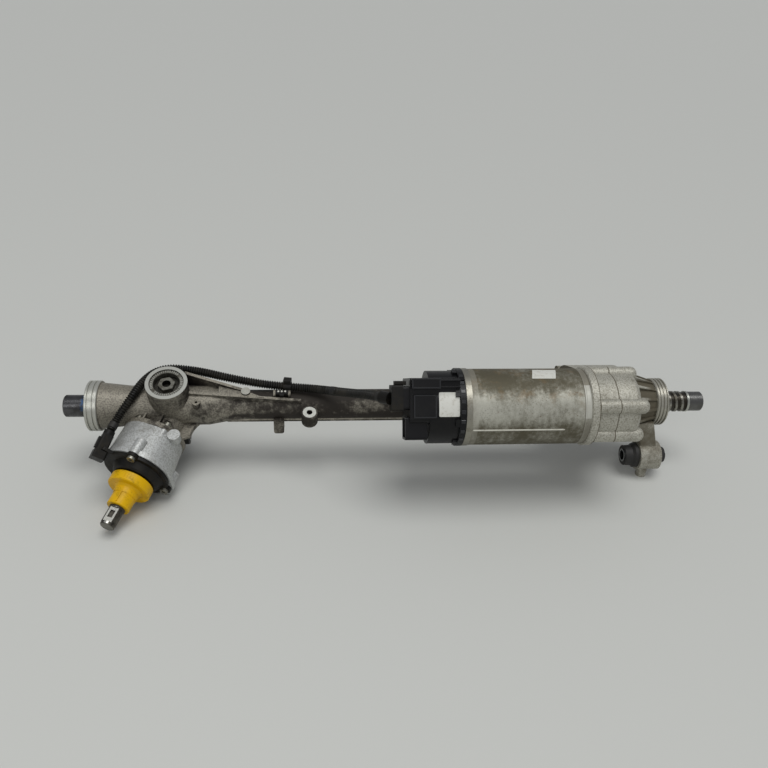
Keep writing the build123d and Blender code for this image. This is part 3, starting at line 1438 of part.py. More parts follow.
with BuildPart() as rear_plate:
    turn(
        MOTOR_PLANE,
        [
            (MOTOR_X0 - REAR_PLATE_T, MOTOR_BEARING_R - 4),
            (MOTOR_X0 - REAR_PLATE_T, REAR_PLATE_R - 0.6),
            (MOTOR_X0 - REAR_PLATE_T + 0.6, REAR_PLATE_R),
            (MOTOR_X0, REAR_PLATE_R),
            (MOTOR_X0, MOTOR_R - MOTOR_WALL - SEAT_GAP),
            (MOTOR_X0 + 4, MOTOR_R - MOTOR_WALL - SEAT_GAP),
            (MOTOR_X0 + 4, MOTOR_R - MOTOR_WALL - 4),
            (MOTOR_X0, MOTOR_R - MOTOR_WALL - 4),
            (MOTOR_X0, MOTOR_BEARING_R + 3.4),
            (rear_bearing_x0 + MOTOR_BEARING_W, MOTOR_BEARING_R + 3.4),
            (rear_bearing_x0 + MOTOR_BEARING_W, MOTOR_BEARING_R + SEAT_GAP),
            (rear_bearing_x0, MOTOR_BEARING_R + SEAT_GAP),
            (rear_bearing_x0, MOTOR_BEARING_R - 4),
        ],
    )
save(rear_plate, "rear_plate")

with BuildPart() as motor_bearings:
    for start in (front_bearing_x0, rear_bearing_x0):
        tube(MOTOR_PLANE, start + 0.1, start + MOTOR_BEARING_W, MOTOR_BEARING_R, SHAFT_R + 2.6)
save(motor_bearings, "motor_bearings")

with BuildPart() as motor_shaft:
    turn(
        MOTOR_PLANE,
        [
            (MOTOR_X0 - REAR_PLATE_T - 2, 0),
            (MOTOR_X0 - REAR_PLATE_T - 2, SHAFT_R - 1.5),
            (rear_bearing_x0, SHAFT_R - 1.5),
            (rear_bearing_x0, SHAFT_R + 2.3),
            (rear_bearing_x0 + MOTOR_BEARING_W, SHAFT_R + 2.3),
            (rear_bearing_x0 + MOTOR_BEARING_W, SHAFT_R + 3),
            (front_bearing_x0, SHAFT_R + 3),
            (front_bearing_x0, SHAFT_R + 2.3),
            (front_bearing_x0 + MOTOR_BEARING_W, SHAFT_R + 2.3),
            (front_bearing_x0 + MOTOR_BEARING_W, SHAFT_R),
            (BELT_X0 + BELT_W + 4, SHAFT_R),
            (BELT_X0 + BELT_W + 5, SHAFT_R - 1),
            (BELT_X0 + BELT_W + 5, 0),
        ],
    )
save(motor_shaft, "motor_shaft")

magnet_r = ROTOR_R + MAGNET_T
with BuildPart() as rotor_core:
    tube(MOTOR_PLANE, STATOR_X0 + 1, STATOR_X1 - 1, ROTOR_R, SHAFT_R + 3 + 0.02)
save(rotor_core, "rotor_core")
with BuildPart() as rotor_magnets:
    with BuildSketch(MOTOR_PLANE.offset(STATOR_X0 + 3)) as arcs:
        Circle(magnet_r)
        Circle(ROTOR_R + 0.02, mode=Mode.SUBTRACT)
        with PolarLocations((ROTOR_R + magnet_r) / 2, MAGNET_COUNT):
            Rectangle(MAGNET_T + 2, 1.6, mode=Mode.SUBTRACT)
    extrude(arcs.sketch, amount=STATOR_X1 - STATOR_X0 - 6)
save(rotor_magnets, "rotor_magnets")

slot_root_r = STATOR_R - 4.5
with BuildPart() as stator_core:
    with BuildSketch(MOTOR_PLANE.offset(STATOR_X0)) as lamination:
        Circle(STATOR_R)
        Circle(slot_root_r, mode=Mode.SUBTRACT)
        with PolarLocations((STATOR_BORE_R + slot_root_r + 1) / 2, STATOR_SLOTS):
            Rectangle(slot_root_r + 1 - STATOR_BORE_R - 0.6, STATOR_TOOTH_W)
        with PolarLocations(STATOR_BORE_R + 1.2, STATOR_SLOTS):
            Rectangle(2, 9.6)
        Circle(STATOR_BORE_R, mode=Mode.SUBTRACT)
    extrude(lamination.sketch, amount=STATOR_X1 - STATOR_X0)
save(stator_core, "stator_core")

with BuildPart() as windings:
    coil_in = STATOR_BORE_R + 3
    coil_out = slot_root_r - 1
    with BuildSketch(MOTOR_PLANE.offset(STATOR_X0 - 5)) as coils:
        with PolarLocations((coil_in + coil_out) / 2, STATOR_SLOTS):
            Rectangle(coil_out - coil_in, STATOR_TOOTH_W + 2 * COIL_SIDE)
    extrude(coils.sketch, amount=STATOR_X1 - STATOR_X0 + 10)
    with BuildSketch(MOTOR_PLANE.offset(STATOR_X0 - 0.4)) as cores:
        with PolarLocations((coil_in + coil_out) / 2, STATOR_SLOTS):
            Rectangle(coil_out - coil_in + 2, STATOR_TOOTH_W + 0.2)
    extrude(cores.sketch, amount=STATOR_X1 - STATOR_X0 + 0.8, mode=Mode.SUBTRACT)
save(windings, "windings")
print("stator", stator_core.part.is_valid, "coils", len(windings.part.solids()))

# =====================================================================
# Control unit on the motor's tail
# =====================================================================
ecu_front = Vector(0, *along(VIEW_SIDE, 1))
ECU_PLANE = Plane(origin=(0, motor_y, motor_z), x_dir=ecu_front, z_dir=(1, 0, 0))


def ecu_block(station, length, low, high, corner=2.0, mode=Mode.ADD):
    """A rounded block: low and high are (towards the front, down) corners."""
    with BuildSketch(ECU_PLANE.offset(station)) as block:
        with Locations(((low[0] + high[0]) / 2, (low[1] + high[1]) / 2)):
            RectangleRounded(high[0] - low[0], high[1] - low[1], corner)
    extrude(block.sketch, amount=length, mode=mode)


ecu_back = -ECU_BACK + 2
with BuildPart() as ecu_cover:
    ecu_block(ECU_X0, ECU_X1 - ECU_X0, (ecu_back, ECU_TOP), (ECU_FRONT, ECU_BOTTOM), 4)
    rod(ECU_PLANE, ECU_LOBE_X0, ECU_X1, ECU_LOBE_R)
    # Raised blocks and bars on the face that looks away from the rack.
    ecu_block(ECU_X0 + 3.6, 25.6, (ECU_FRONT - 6, -14.8), (ECU_FRONT + 3, 11))
    ecu_block(ECU_X0 + 1, 31.7, (ECU_FRONT - 6, -32.8), (ECU_FRONT + 8, -21.3))
    for level in (-30, -23):
        ecu_block(ECU_X0 + 32, 23, (ECU_FRONT - 8, level - 1), (ECU_FRONT + 4, level + 1), 0.6)
    # Plug sockets facing away from the motor.
    ecu_block(ECU_X0 - 4.5, 24.5, (2, ECU_BOTTOM - 6.5), (30, ECU_BOTTOM + 19.6), 3)
    ecu_block(ECU_X0 - 7, 8, (10, -24), (34, 2), 3)
    # Ring that snaps over the rear plate, with its tabs and a locating pin.
    rod(ECU_PLANE, ECU_X1, ECU_X1 + ECU_FLANGE_T, ECU_FLANGE_R)
    with BuildSketch(ECU_PLANE.offset(ECU_X1 - 5)) as tabs:
        with PolarLocations(ECU_LOBE_R + 0.6, 8, start_angle=22.5):
            Rectangle(4, 9)
    extrude(tabs.sketch, amount=6)
    column(ECU_PLANE.from_local_coords(Vector(ECU_FRONT, -21, ECU_X1 - 1)), (-1, 0, 0), 1.8, 4)
    # Hollow body and sockets.
    ecu_block(
        ECU_X0 + ECU_WALL,
        ECU_X1,
        (ecu_back + ECU_WALL, ECU_TOP + ECU_WALL),
        (ECU_FRONT - ECU_WALL, ECU_BOTTOM - ECU_WALL),
        3,
        Mode.SUBTRACT,
    )
    rod(ECU_PLANE, ECU_LOBE_X0 + ECU_WALL, MOTOR_X0, ECU_LOBE_R - ECU_WALL, Mode.SUBTRACT)
    ecu_block(ECU_X0 - 5, 18, (4.4, ECU_BOTTOM - 4), (27.6, ECU_BOTTOM + 17.2), 2, Mode.SUBTRACT)
    ecu_block(ECU_X0 - 8, 9, (12.2, -21.8), (31.8, -0.2), 2, Mode.SUBTRACT)
    ecu_block(ECU_X0, 16, (ECU_FRONT - 2, -31), (ECU_FRONT + 6, -23.1), 1.4, Mode.SUBTRACT)
save(ecu_cover, "ecu_cover")
print("ecu", ecu_cover.part.is_valid, len(ecu_cover.part.solids()))

# Pins of the two sockets stand on the socket floors.
with BuildPart() as ecu_pins:
    for row in range(3):
        for column_index in range(4):
            front_at = 8.5 + 5 * column_index
            ecu_block(
                ECU_X0 + 2,
                11,
                (front_at - 0.5, ECU_BOTTOM + 1 + 5 * row),
                (front_at + 0.5, ECU_BOTTOM + 2 + 5 * row),
                0.2,
            )
save(ecu_pins, "ecu_pins")

with BuildPart() as circuit_board:
    with BuildSketch(ECU_PLANE.offset(ECU_X1 - 9)) as board:
        Circle(ECU_LOBE_R - ECU_WALL - 1)
        with PolarLocations(ECU_LOBE_R - 6, 4, start_angle=45):
            Circle(1.6, mode=Mode.SUBTRACT)
    extrude(board.sketch, amount=1.6)
save(circuit_board, "circuit_board")

with BuildPart() as capacitors:
    with BuildSketch(ECU_PLANE.offset(ECU_X1 - 9)) as cans:
        with Locations((18, -14), (18, 4), (-2, -20), (-18, -10)):
            Circle(6.2)
    extrude(cans.sketch, amount=-22)
save(capacitors, "capacitors")

with BuildPart() as heat_sink:
    rod(ECU_PLANE, ECU_X1 - 5, ECU_X1 - 0.5, ECU_LOBE_R - ECU_WALL - 0.4)
    for index in range(-2, 3):
        ecu_block(ECU_X1 - 0.5, 4.5, (-26, 10 * index - 1.2), (26, 10 * index + 1.2), 0.6)
save(heat_sink, "heat_sink")

# =====================================================================
# Bushes of the mounting eyes
# =====================================================================
eye_planes = [
    Plane(origin=(x, y, -EYE_DROP), x_dir=(0, 1, 0), z_dir=(inner, 0, 0))
    for x, y, inner in ((RIGHT_EYE_X, RIGHT_EYE_Y, -1), (LEFT_EYE_X, LEFT_EYE_Y, 1))
]
eye_half = EYE_L / 2
sleeve_out = -eye_half - SLEEVE_SHORT
sleeve_in = eye_half + SLEEVE_LONG
with BuildPart() as bush_sleeves:
    for eye_plane in eye_planes:
        tube(eye_plane, sleeve_out, sleeve_in, SLEEVE_TUBE_R, SLEEVE_BORE_R)
save(bush_sleeves, "bush_sleeves")
with BuildPart() as bush_rubbers:
    for eye_plane in eye_planes:
        turn(
            eye_plane,
            [
                (sleeve_out + 1, SLEEVE_TUBE_R + 0.02),
                (sleeve_out + 1, SLEEVE_TUBE_R + 1.6),
                (-eye_half - 2, SLEEVE_TUBE_R + 3),
                (-eye_half + 1, EYE_BORE_R - SEAT_GAP),
                (eye_half + 0.4, EYE_BORE_R - SEAT_GAP),
                (eye_half + 0.4, EYE_BORE_R + 1.4),
                (eye_half + 5, EYE_BORE_R + 1.4),
                (eye_half + 8, EYE_BORE_R - 1),
                (sleeve_in - 1, EYE_BORE_R - 1.4),
                (sleeve_in - 1, SLEEVE_TUBE_R + 0.02),
            ],
        )
save(bush_rubbers, "bush_rubbers")

# =====================================================================
# Harness from the torque sensor to the control unit
# =====================================================================
conduit_route = [
    plug_mouth + plug_axis * 0.9,
    Vector(-328.4, -37.5, 3.5),
    Vector(-320.5, -30.5, 14.5),
    Vector(-312, -20.5, 24),
    Vector(-302.5, -1.5, 33),
    Vector(-290.5, 16, 37),
    Vector(-274, 25.5, 37),
    Vector(-253, 25, 35),
    Vector(-232, 20, 34),
    Vector(-212, 14, 32),
    Vector(-186, 9, 28.7),
    Vector(-160, 5, 25.8),
    Vector(-134, 1, 25),
    Vector(-108, -3, 25),
    Vector(-84, -13, 28),
    Vector(-63, -30, 35.5),
    Vector(-46, -50, 46),
    Vector(-33.5, -68.5, 55.5),
    Vector(-22, -80, 60),
]


def bend_radii(points):
    """Radius at each inner corner from its shorter run and its turn."""
    radii = []
    for before, corner, after in zip(points, points[1:], points[2:]):
        run_in = corner - before
        run_out = after - corner
        half_turn = math.radians(run_in.get_angle(run_out)) / 2
        shorter = min(run_in.length, run_out.length)
        radii.append(BEND_SHARE * shorter / math.tan(half_turn))
    return radii


radii = bend_radii(conduit_route)
print("conduit radii", [round(r, 1) for r in radii])
with BuildPart() as harness_conduit:
    with BuildLine() as centre_line:
        FilletPolyline(*conduit_route, radius=radii)
    run_wire = centre_line.wires()[0]
    with BuildSketch(Plane(origin=run_wire @ 0, z_dir=run_wire % 0)) as hose:
        Circle(CONDUIT_R)
        Circle(CONDUIT_R - CONDUIT_WALL, mode=Mode.SUBTRACT)
    sweep(hose.sketch, path=run_wire)
save(harness_conduit, "harness_conduit")
hose_area = math.pi * (CONDUIT_R**2 - (CONDUIT_R - CONDUIT_WALL) ** 2)
print(
    "conduit",
    harness_conduit.part.is_valid,
    len(harness_conduit.part.solids()),
    "volume",
    round(harness_conduit.part.volume),
    "section x length",
    round(hose_area * run_wire.length),
)

hose_end = run_wire @ 1
hose_way = run_wire % 1
with BuildPart() as harness_plug:
    ecu_block(ECU_X0 - 20, 13, (8.5, -25.5), (35.5, 3.5), 2.5)
    ecu_block(ECU_X0 - 7, 7.5, (12.6, -21.4), (31.4, -0.6), 1.6)
    ecu_block(ECU_X0 - 16, 13, (16, -30), (28, -25.5), 1.2)
    # Boot round the conduit's end.
    column(hose_end - hose_way * 5, hose_way, CONDUIT_R + 1.9, 13)
    column(hose_end - hose_way * 8, hose_way, CONDUIT_R + 0.1, 8.2, Mode.SUBTRACT)
save(harness_plug, "harness_plug")

clip_station = Vector(-132, 0.7, 25.15)
with BuildPart() as harness_clip:
    clip_plane = Plane(origin=clip_station, x_dir=(0, 1, 0), z_dir=(26, -4, -0.3))
    tube(clip_plane, -4.5, 4.5, CONDUIT_R + 1.3, CONDUIT_R + 0.2)
    with BuildSketch(clip_plane.offset(-4.5)) as block:
        with Locations((0, CONDUIT_R + 3)):
            RectangleRounded(9, 5, 1)
    extrude(block.sketch, amount=9)
save(harness_clip, "harness_clip")
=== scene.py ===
# %% [markdown]
# An electric power steering rack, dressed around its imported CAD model.
# A steel bar slides in a cast housing. The driver turns a pinion at the left
# end, a sensor reads the twist, and a motor drives the bar through a belt and
# a ball nut at the right end. The CAD model already has every form and every
# joint, so this lesson gives it what the eye needs: casting skin, machined
# faces, ground steel, moulded plastic, grime, and the fine shapes that are
# too small for the solids.

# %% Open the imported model
import bpy
import bmesh
import json
import math
from mathutils import Matrix, Vector

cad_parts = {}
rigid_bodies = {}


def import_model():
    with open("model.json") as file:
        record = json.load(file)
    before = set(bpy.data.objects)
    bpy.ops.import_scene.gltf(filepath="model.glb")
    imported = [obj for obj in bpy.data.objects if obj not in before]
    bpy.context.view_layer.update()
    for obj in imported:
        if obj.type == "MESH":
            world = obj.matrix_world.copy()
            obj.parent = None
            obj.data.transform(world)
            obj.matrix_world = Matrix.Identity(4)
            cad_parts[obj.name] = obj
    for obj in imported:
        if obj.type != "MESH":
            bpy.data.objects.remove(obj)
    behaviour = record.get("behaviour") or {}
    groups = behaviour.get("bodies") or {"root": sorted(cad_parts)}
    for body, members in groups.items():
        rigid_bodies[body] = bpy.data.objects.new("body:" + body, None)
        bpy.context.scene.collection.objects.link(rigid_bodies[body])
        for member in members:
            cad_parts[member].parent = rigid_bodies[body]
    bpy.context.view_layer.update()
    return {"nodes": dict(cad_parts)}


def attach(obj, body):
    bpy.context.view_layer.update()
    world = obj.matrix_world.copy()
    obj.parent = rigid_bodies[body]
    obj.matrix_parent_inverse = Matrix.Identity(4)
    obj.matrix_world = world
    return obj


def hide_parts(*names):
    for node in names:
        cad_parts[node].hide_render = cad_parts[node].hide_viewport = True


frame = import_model()
print("CAD pieces:", len(frame["nodes"]))

# %% [markdown]
# Directions come first. The rack bar lies along X, from zero at its middle.
# The yoke that presses the bar onto the pinion leans back by 20 degrees, and
# the pinion crosses the bar at 20 degrees from square, as a helical pinion
# does. The motor lies beside the bar. Finishes and fine pieces could be fitted
# by eye, but all of them are placed from these axes, so they sit where the CAD
# says.

# %% Axes of the bar, the yoke, the pinion and the motor
MM = 0.001
BAR_WAY = Vector((1, 0, 0))
BAR_MIDDLE = Vector((0, 0, 0))
UP = Vector((0, 0, 1))
TILT = math.radians(20)
LEAN = math.radians(20)
YOKE_DIR = Vector((0, -math.sin(TILT), math.cos(TILT)))
YOKE_SIDE = Vector((0, math.cos(TILT), math.sin(TILT)))
YOKE_FOOT = Vector((-271.5, 0, 0)) * MM
PINION_DIR = Vector(
    (-math.sin(LEAN), -math.cos(LEAN) * math.cos(TILT), -math.cos(LEAN) * math.sin(TILT))
)
PINION_DROP = 17.33
PINION_FOOT = YOKE_FOOT - YOKE_DIR * PINION_DROP * MM
MOTOR_AXIS = Vector((0, -68.745, 39.53)) * MM
FRONT_TURN = math.radians(148.4)
FRONT = Vector((0, math.cos(FRONT_TURN), math.sin(FRONT_TURN)))
DOWN = Vector((0, -FRONT.z, FRONT.y))
FLOOR_LEVEL = -85 * MM


def yoke_point(along_bar, across, height):
    """A point given in millimetres from where the yoke's axis meets the bar's."""
    return YOKE_FOOT + (BAR_WAY * along_bar + YOKE_SIDE * across + YOKE_DIR * height) * MM


def motor_point(x, front, down):
    """A point given in millimetres along the motor, out to its front, and down."""
    return MOTOR_AXIS + (BAR_WAY * x + FRONT * front + DOWN * down) * MM


print("pinion leaves the bar at", [round(v, 3) for v in PINION_DIR])

# %% [markdown]
# The camera stands above and in front, as someone would who looks down at the
# part on the floor. Its place and turn are given as three directions: to the
# right of the picture, up the picture and forwards. They say exactly how the
# camera is held, where a target point would leave its roll open.

# %% Camera
LENS_PER_WIDTH = 754 / 768
SENSOR_WIDTH = 36
CAMERA_PLACE = Vector((-101.146, -780.856, 509.611)) * MM
PICTURE_RIGHT = Vector((0.99558781, -0.08252194, 0.04466584))
PICTURE_UP = Vector((0.00524651, 0.52421681, 0.85156868))
LOOK = Vector((0.09368769, 0.84757706, -0.52233682))

scene_objects = bpy.context.scene.collection.objects
camera_data = bpy.data.cameras.new("camera")
camera_data.sensor_width = SENSOR_WIDTH
camera_data.lens = SENSOR_WIDTH * LENS_PER_WIDTH
camera_data.clip_start = 0.01
camera = bpy.data.objects.new("camera", camera_data)
scene_objects.link(camera)
axes = Matrix((PICTURE_RIGHT, PICTURE_UP, -LOOK)).transposed()
camera.matrix_world = Matrix.Translation(CAMERA_PLACE) @ axes.to_4x4()
bpy.context.scene.camera = camera
bpy.context.scene.view_settings.view_transform = "Standard"
print("lens", round(camera_data.lens, 2), "mm")

# %% [markdown]
# Every colour below is the hex value that a paint chart or an image editor
# shows. Blender's shaders work in linear light, so one function turns a hex
# value into linear numbers.

# %% Hex colours
def colour(hex_value):
    """Linear RGBA from an sRGB hex value."""
    channels = []
    for start in (1, 3, 5):
        value = int(hex_value[start : start + 2], 16) / 255
        channels.append(value / 12.92 if value <= 0.04045 else ((value + 0.055) / 1.055) ** 2.4)
    return (*channels, 1.0)


print("hex #808080 is linear", round(colour("#808080")[0], 3))

# %% [markdown]
# A finish is a tree of nodes. It could be drawn in the shader editor, but as
# text it can be read, measured and used again. One function adds any node. It
# takes what feeds the node's inputs, in their order or by name, and each feed
# is a number, a hex colour or another node's output. Two kinds of node are set
# the same way nearly every time, so a table holds their usual setting.

# %% One function that adds a node
USUAL = {"MapRange": {"interpolation_type": "SMOOTHSTEP"}, "Mix": {"data_type": "RGBA"}}


def node_adder(tree):
    """Gives the function that adds nodes to this tree."""

    def add(kind, *feeds, **settings):
        """Adds a node and gives its output; settings are fields, or inputs with _ for a space."""
        node = tree.nodes.new("ShaderNode" + kind)
        named = []
        for key, value in {**USUAL.get(kind, {}), **settings}.items():
            if hasattr(node, key):
                setattr(node, key, value)
            else:
                named.append((node.inputs[key.replace("_", " ")], value))
        live = [socket for socket in node.inputs if socket.enabled]
        for socket, feed in (*zip(live, feeds), *named):
            if isinstance(feed, bpy.types.NodeSocket):
                tree.links.new(feed, socket)
            else:
                socket.default_value = colour(feed) if isinstance(feed, str) else feed
        return next((socket for socket in node.outputs if socket.enabled), node)

    return add


def new_material(name):
    """A material, the function that adds its nodes, and the place on the piece in metres."""
    material = bpy.data.materials.new(name)
    material.use_nodes = True
    material.node_tree.nodes.clear()
    add = node_adder(material.node_tree)
    return material, add, add("TexCoord").node.outputs["Object"]


def wear(material, *node_names):
    """Gives CAD pieces their finish."""
    for node_name in node_names:
        slots = frame["nodes"][node_name].data.materials
        slots.clear()
        slots.append(material)
    return material


print("usual settings:", USUAL)

# %% [markdown]
# Dirt and wear follow the shape of the part: they sit so far along an axis, so
# far out from it, or on faces that look one way. A painted mask could say
# where, but it would need an image. Each helper here is a few nodes that
# measure the place on the surface instead. Sizes are real, in millimetres.

# %% Measures on the surface
def per_metre(size_mm):
    """Texture scale whose features are about size_mm across."""
    return 1000 / size_mm


def distance_along(add, place, direction, origin=BAR_MIDDLE):
    """How far a point is along a direction from an origin, in metres."""
    moved = add("VectorMath", place, origin, operation="SUBTRACT")
    return add("VectorMath", moved, direction, operation="DOT_PRODUCT")


def distance_from(add, place, direction, origin=BAR_MIDDLE):
    """How far a point is from the line through an origin along a direction, in metres."""
    moved = add("VectorMath", place, origin, operation="SUBTRACT")
    crossed = add("VectorMath", moved, direction, operation="CROSS_PRODUCT")
    return add("VectorMath", crossed, operation="LENGTH")


def facing(add, direction):
    """How squarely the surface faces a direction, from -1 to 1."""
    normal = add("NewGeometry").node.outputs["True Normal"]
    return add("VectorMath", normal, direction, operation="DOT_PRODUCT")


def beyond(direction, origin, start_mm, soft_mm=0.3):
    """Mask that is 1 past a station along a direction."""

    def mask(add, place):
        reach = distance_along(add, place, direction, origin)
        return add("MapRange", reach, (start_mm - soft_mm) * MM, (start_mm + soft_mm) * MM)

    return mask


def between(direction, origin, stations, soft_mm=0.3, amount=1.0):
    """Mask that is the given amount between two stations along a direction."""

    def mask(add, place):
        reach = distance_along(add, place, direction, origin)
        start, end = stations
        rise = add("MapRange", reach, (start - soft_mm) * MM, (start + soft_mm) * MM)
        fall = add("MapRange", reach, (end - soft_mm) * MM, (end + soft_mm) * MM, 1, 0)
        both = add("Math", rise, fall, operation="MULTIPLY")
        return add("Math", both, amount, operation="MULTIPLY")

    return mask


def disc(origin, radius_mm, stations, amount=1.0, direction=YOKE_DIR):
    """Mask for a round face: inside a radius of an axis and between two stations along it."""

    def mask(add, place):
        reach = distance_from(add, place, direction, origin)
        inside = add("MapRange", reach, (radius_mm - 0.2) * MM, (radius_mm + 0.2) * MM, 1, 0)
        slab = between(direction, origin, stations, 0.2, amount)(add, place)
        return add("Math", inside, slab, operation="MULTIPLY")

    return mask


def two_noises(add, place, coarse, fine, share):
    """A slow drift with fine mottling; coarse and fine are (size in mm, detail, roughness)."""
    parts = []
    for (size_mm, detail, rough), part in ((coarse, share), (fine, 1 - share)):
        cloud = add("TexNoise", place, per_metre(size_mm), detail, rough)
        parts.append(add("Math", cloud, part, operation="MULTIPLY"))
    return add("Math", *parts, operation="ADD")


def tint(add, tone, mask, amount, shade):
    """Lays a shade over a tone where a mask says, by amount at the most."""
    return add("Mix", add("Math", mask, amount, operation="MULTIPLY"), tone, shade)


print("a grain of 0.9 mm has scale", round(per_metre(0.9)))

# %% [markdown]
# The floor is a plain pale sheet at the level the part lies on. A backdrop
# could hide its far edge, but a wide sheet needs none: the world looks like
# the far floor to the camera alone, so there is no horizon.

# %% Floor
FLOOR_HALF = 40.0
floor_mesh = bpy.data.meshes.new("floor")
floor_corners = [(x * FLOOR_HALF, y * FLOOR_HALF, FLOOR_LEVEL) for x, y in ((-1, -1), (1, -1), (1, 1), (-1, 1))]
floor_mesh.from_pydata(floor_corners, [], [(0, 1, 2, 3)])
floor = bpy.data.objects.new("floor", floor_mesh)
scene_objects.link(floor)
floor_paint, add, place = new_material("pale_floor_sheet")
add("OutputMaterial", add("BsdfPrincipled", Base_Color="#c4c5c0", Roughness=0.7))
floor_mesh.materials.append(floor_paint)
print("floor at", FLOOR_LEVEL, "m")

# %% [markdown]
# The light is a wide soft sun from above, a weak lamp one metre wide from the
# front and an even pale world. Small hard lamps would make sharper glints, but
# metal needs something broad and bright to reflect, and the shadows should
# stay soft.

# %% World and lamps
world = bpy.data.worlds.new("studio")
bpy.context.scene.world = world
world.use_nodes = True
world.node_tree.nodes.clear()
add = node_adder(world.node_tree)
lighting = add("Background", "#e4e6ea", 0.45)
backdrop = add("Background", "#b6b8b3", 1.0)
camera_ray = add("LightPath").node.outputs["Is Camera Ray"]
add("OutputWorld", add("MixShader", camera_ray, lighting, backdrop))


def hang_lamp(name, kind, energy, aim):
    """A lamp that shines along aim."""
    data = bpy.data.lights.new(name, kind)
    data.energy = energy
    lamp = bpy.data.objects.new(name, data)
    scene_objects.link(lamp)
    lamp.rotation_euler = Vector(aim).to_track_quat("-Z", "Y").to_euler()
    return lamp


sun = hang_lamp("wide_sun", "SUN", 1.45, (-0.12, 0.16, -1))
sun.data.angle = math.radians(38)
FRONT_LAMP_PLACE = Vector((-0.5, -1.7, 1.2))
front_lamp = hang_lamp("front_lamp", "AREA", 7, -FRONT_LAMP_PLACE)
front_lamp.location = FRONT_LAMP_PLACE
front_lamp.data.size = 1.0

# %% [markdown]
# Sand-cast and die-cast aluminium has a fine pebbled skin, and on a used part
# road dirt sits in it. The grain could be displaced, but it is far finer than
# a mesh, so it is a bump. One recipe serves all the castings: the grain, a
# slow drift of tone, dark grime where a coarse noise says, and a brighter look
# where a cutter has passed. The skin is only partly a metal, because the oxide
# and dirt on it scatter most of the light.

# %% Recipe for dirty cast aluminium
CUT_METAL = 0.75
CUT_ROUGHNESS = 0.3


def cast_aluminium(name, clean, dirty, grime_and_light_span, grain_mm, machined=(), grimy=(), metal=0.55, cut_shade=None):
    """The masks of machined faces, and of grime with painted light, are functions of (add, place)."""
    material, add, place = new_material(name)
    grime_and_light_mask = two_noises(add, place, (34, 4, 0.6), (9, 6, 0.65), 0.6)
    # Grime masks, which on some castings also add painted highlights and painted shade.
    for mask in grimy:
        grime_and_light_mask = add("Math", grime_and_light_mask, mask(add, place), operation="ADD")
    grime_and_light_mask = add("MapRange", grime_and_light_mask, *grime_and_light_span)
    specks = add("MapRange", add("TexNoise", place, per_metre(1.6), 2, 0.6), 0.42, 0.64)
    tone = add("Mix", grime_and_light_mask, tint(add, clean, specks, 0.55, dirty), dirty)
    roughness = add("MapRange", grime_and_light_mask, 0, 1, 0.46, 0.72)
    grain = add("TexNoise", place, per_metre(grain_mm), 3, 0.7)
    cuts = [mask(add, place) for mask in machined]
    if cuts:
        cut = cuts[0]
        for more in cuts[1:]:
            cut = add("Math", cut, more, operation="MAXIMUM")
        tone = tint(add, tone, cut, 0.85, cut_shade)
        roughness = add("Mix", cut, roughness, CUT_ROUGHNESS, data_type="FLOAT")
        metal = add("MapRange", cut, 0, 1, metal, CUT_METAL)
        uncut = add("Math", 1, add("Math", cut, 0.9, operation="MULTIPLY"), operation="SUBTRACT")
        grain = add("Math", grain, uncut, operation="MULTIPLY")
    normal = add("Bump", Height=grain, Distance=0.25 * MM, Strength=0.7)
    shader = add("BsdfPrincipled", Base_Color=tone, Roughness=roughness, Metallic=metal, Normal=normal)
    add("OutputMaterial", shader)
    return material


print("cast aluminium recipe ready")

# %% [markdown]
# The main casting is the darkest: road grime has baked onto its tube and into
# its corners, and only its machined faces are bright. Those are the bellows
# seat at the left end, the ring face that the yoke's plug sits in and the
# faces of the screw bosses. The grime is heavier on top, where spray lands,
# and thins out towards the gear case and round the underside. Painted
# highlights lie on the upward faces of the ribs and the plate between them,
# and along the tube's lower edge. An even coat would be simpler, but it would
# look painted.

# %% Main casting's finish
LEFT_SEAT = (352.4, 368)
YOKE_RING_R, YOKE_RING = 24.6, (43.6, 46)
LUG_R, LUG_FACE = 8, (14.6, 17)
SMALL_BOSS_R, SMALL_BOSS_FACE = 5.6, (25.6, 27)
TUBE_BACK_UP = Vector((0, -0.35, 0.94))
TUBE_FRONT = Vector((0, -0.94, 0.34))


def on_tube(add, place):
    """Grime along the tube: little at the left end, most from the yoke boss to the middle."""
    x = distance_along(add, place, BAR_WAY)
    left_end = add("MapRange", x, -302 * MM, -284 * MM, -0.2, 0.1)
    rise = add("MapRange", x, -230 * MM, -150 * MM, 0, 0.12)
    fall = add("MapRange", x, 110 * MM, 215 * MM, 1, 0.5)
    return add("Math", left_end, add("Math", rise, fall, operation="MULTIPLY"), operation="ADD")


def under_side(add, place):
    """Less grime low on the side, where the skin shows through."""
    return add("MapRange", distance_along(add, place, TUBE_BACK_UP), -16 * MM, 4 * MM, -0.2, 0)


def lit_edge_and_patches(add, place):
    """Painted highlight along the tube's lower edge where it turns to the front, and small patches everywhere.
    """
    low = add("MapRange", distance_along(add, place, TUBE_FRONT), 14.5 * MM, 17.5 * MM, 0, -0.14)
    turned_out = add("MapRange", facing(add, TUBE_FRONT), 0.2, 0.8)
    lit_low_edge = add("Math", low, turned_out, operation="MULTIPLY")
    patches = add("MapRange", add("TexNoise", place, per_metre(5), 5, 0.7), 0.42, 0.62, 0.03, -0.05)
    return add("Math", lit_low_edge, patches, operation="ADD")


def lit_ribs_and_plate(add, place):
    """Painted highlight on the upward faces of the ribs' top edges and the plate between them."""
    high = add("MapRange", distance_along(add, place, YOKE_DIR, YOKE_FOOT), 18.5 * MM, 23 * MM, 0, -0.24)
    return add("Math", high, add("MapRange", facing(add, YOKE_DIR), 0.5, 0.9), operation="MULTIPLY")


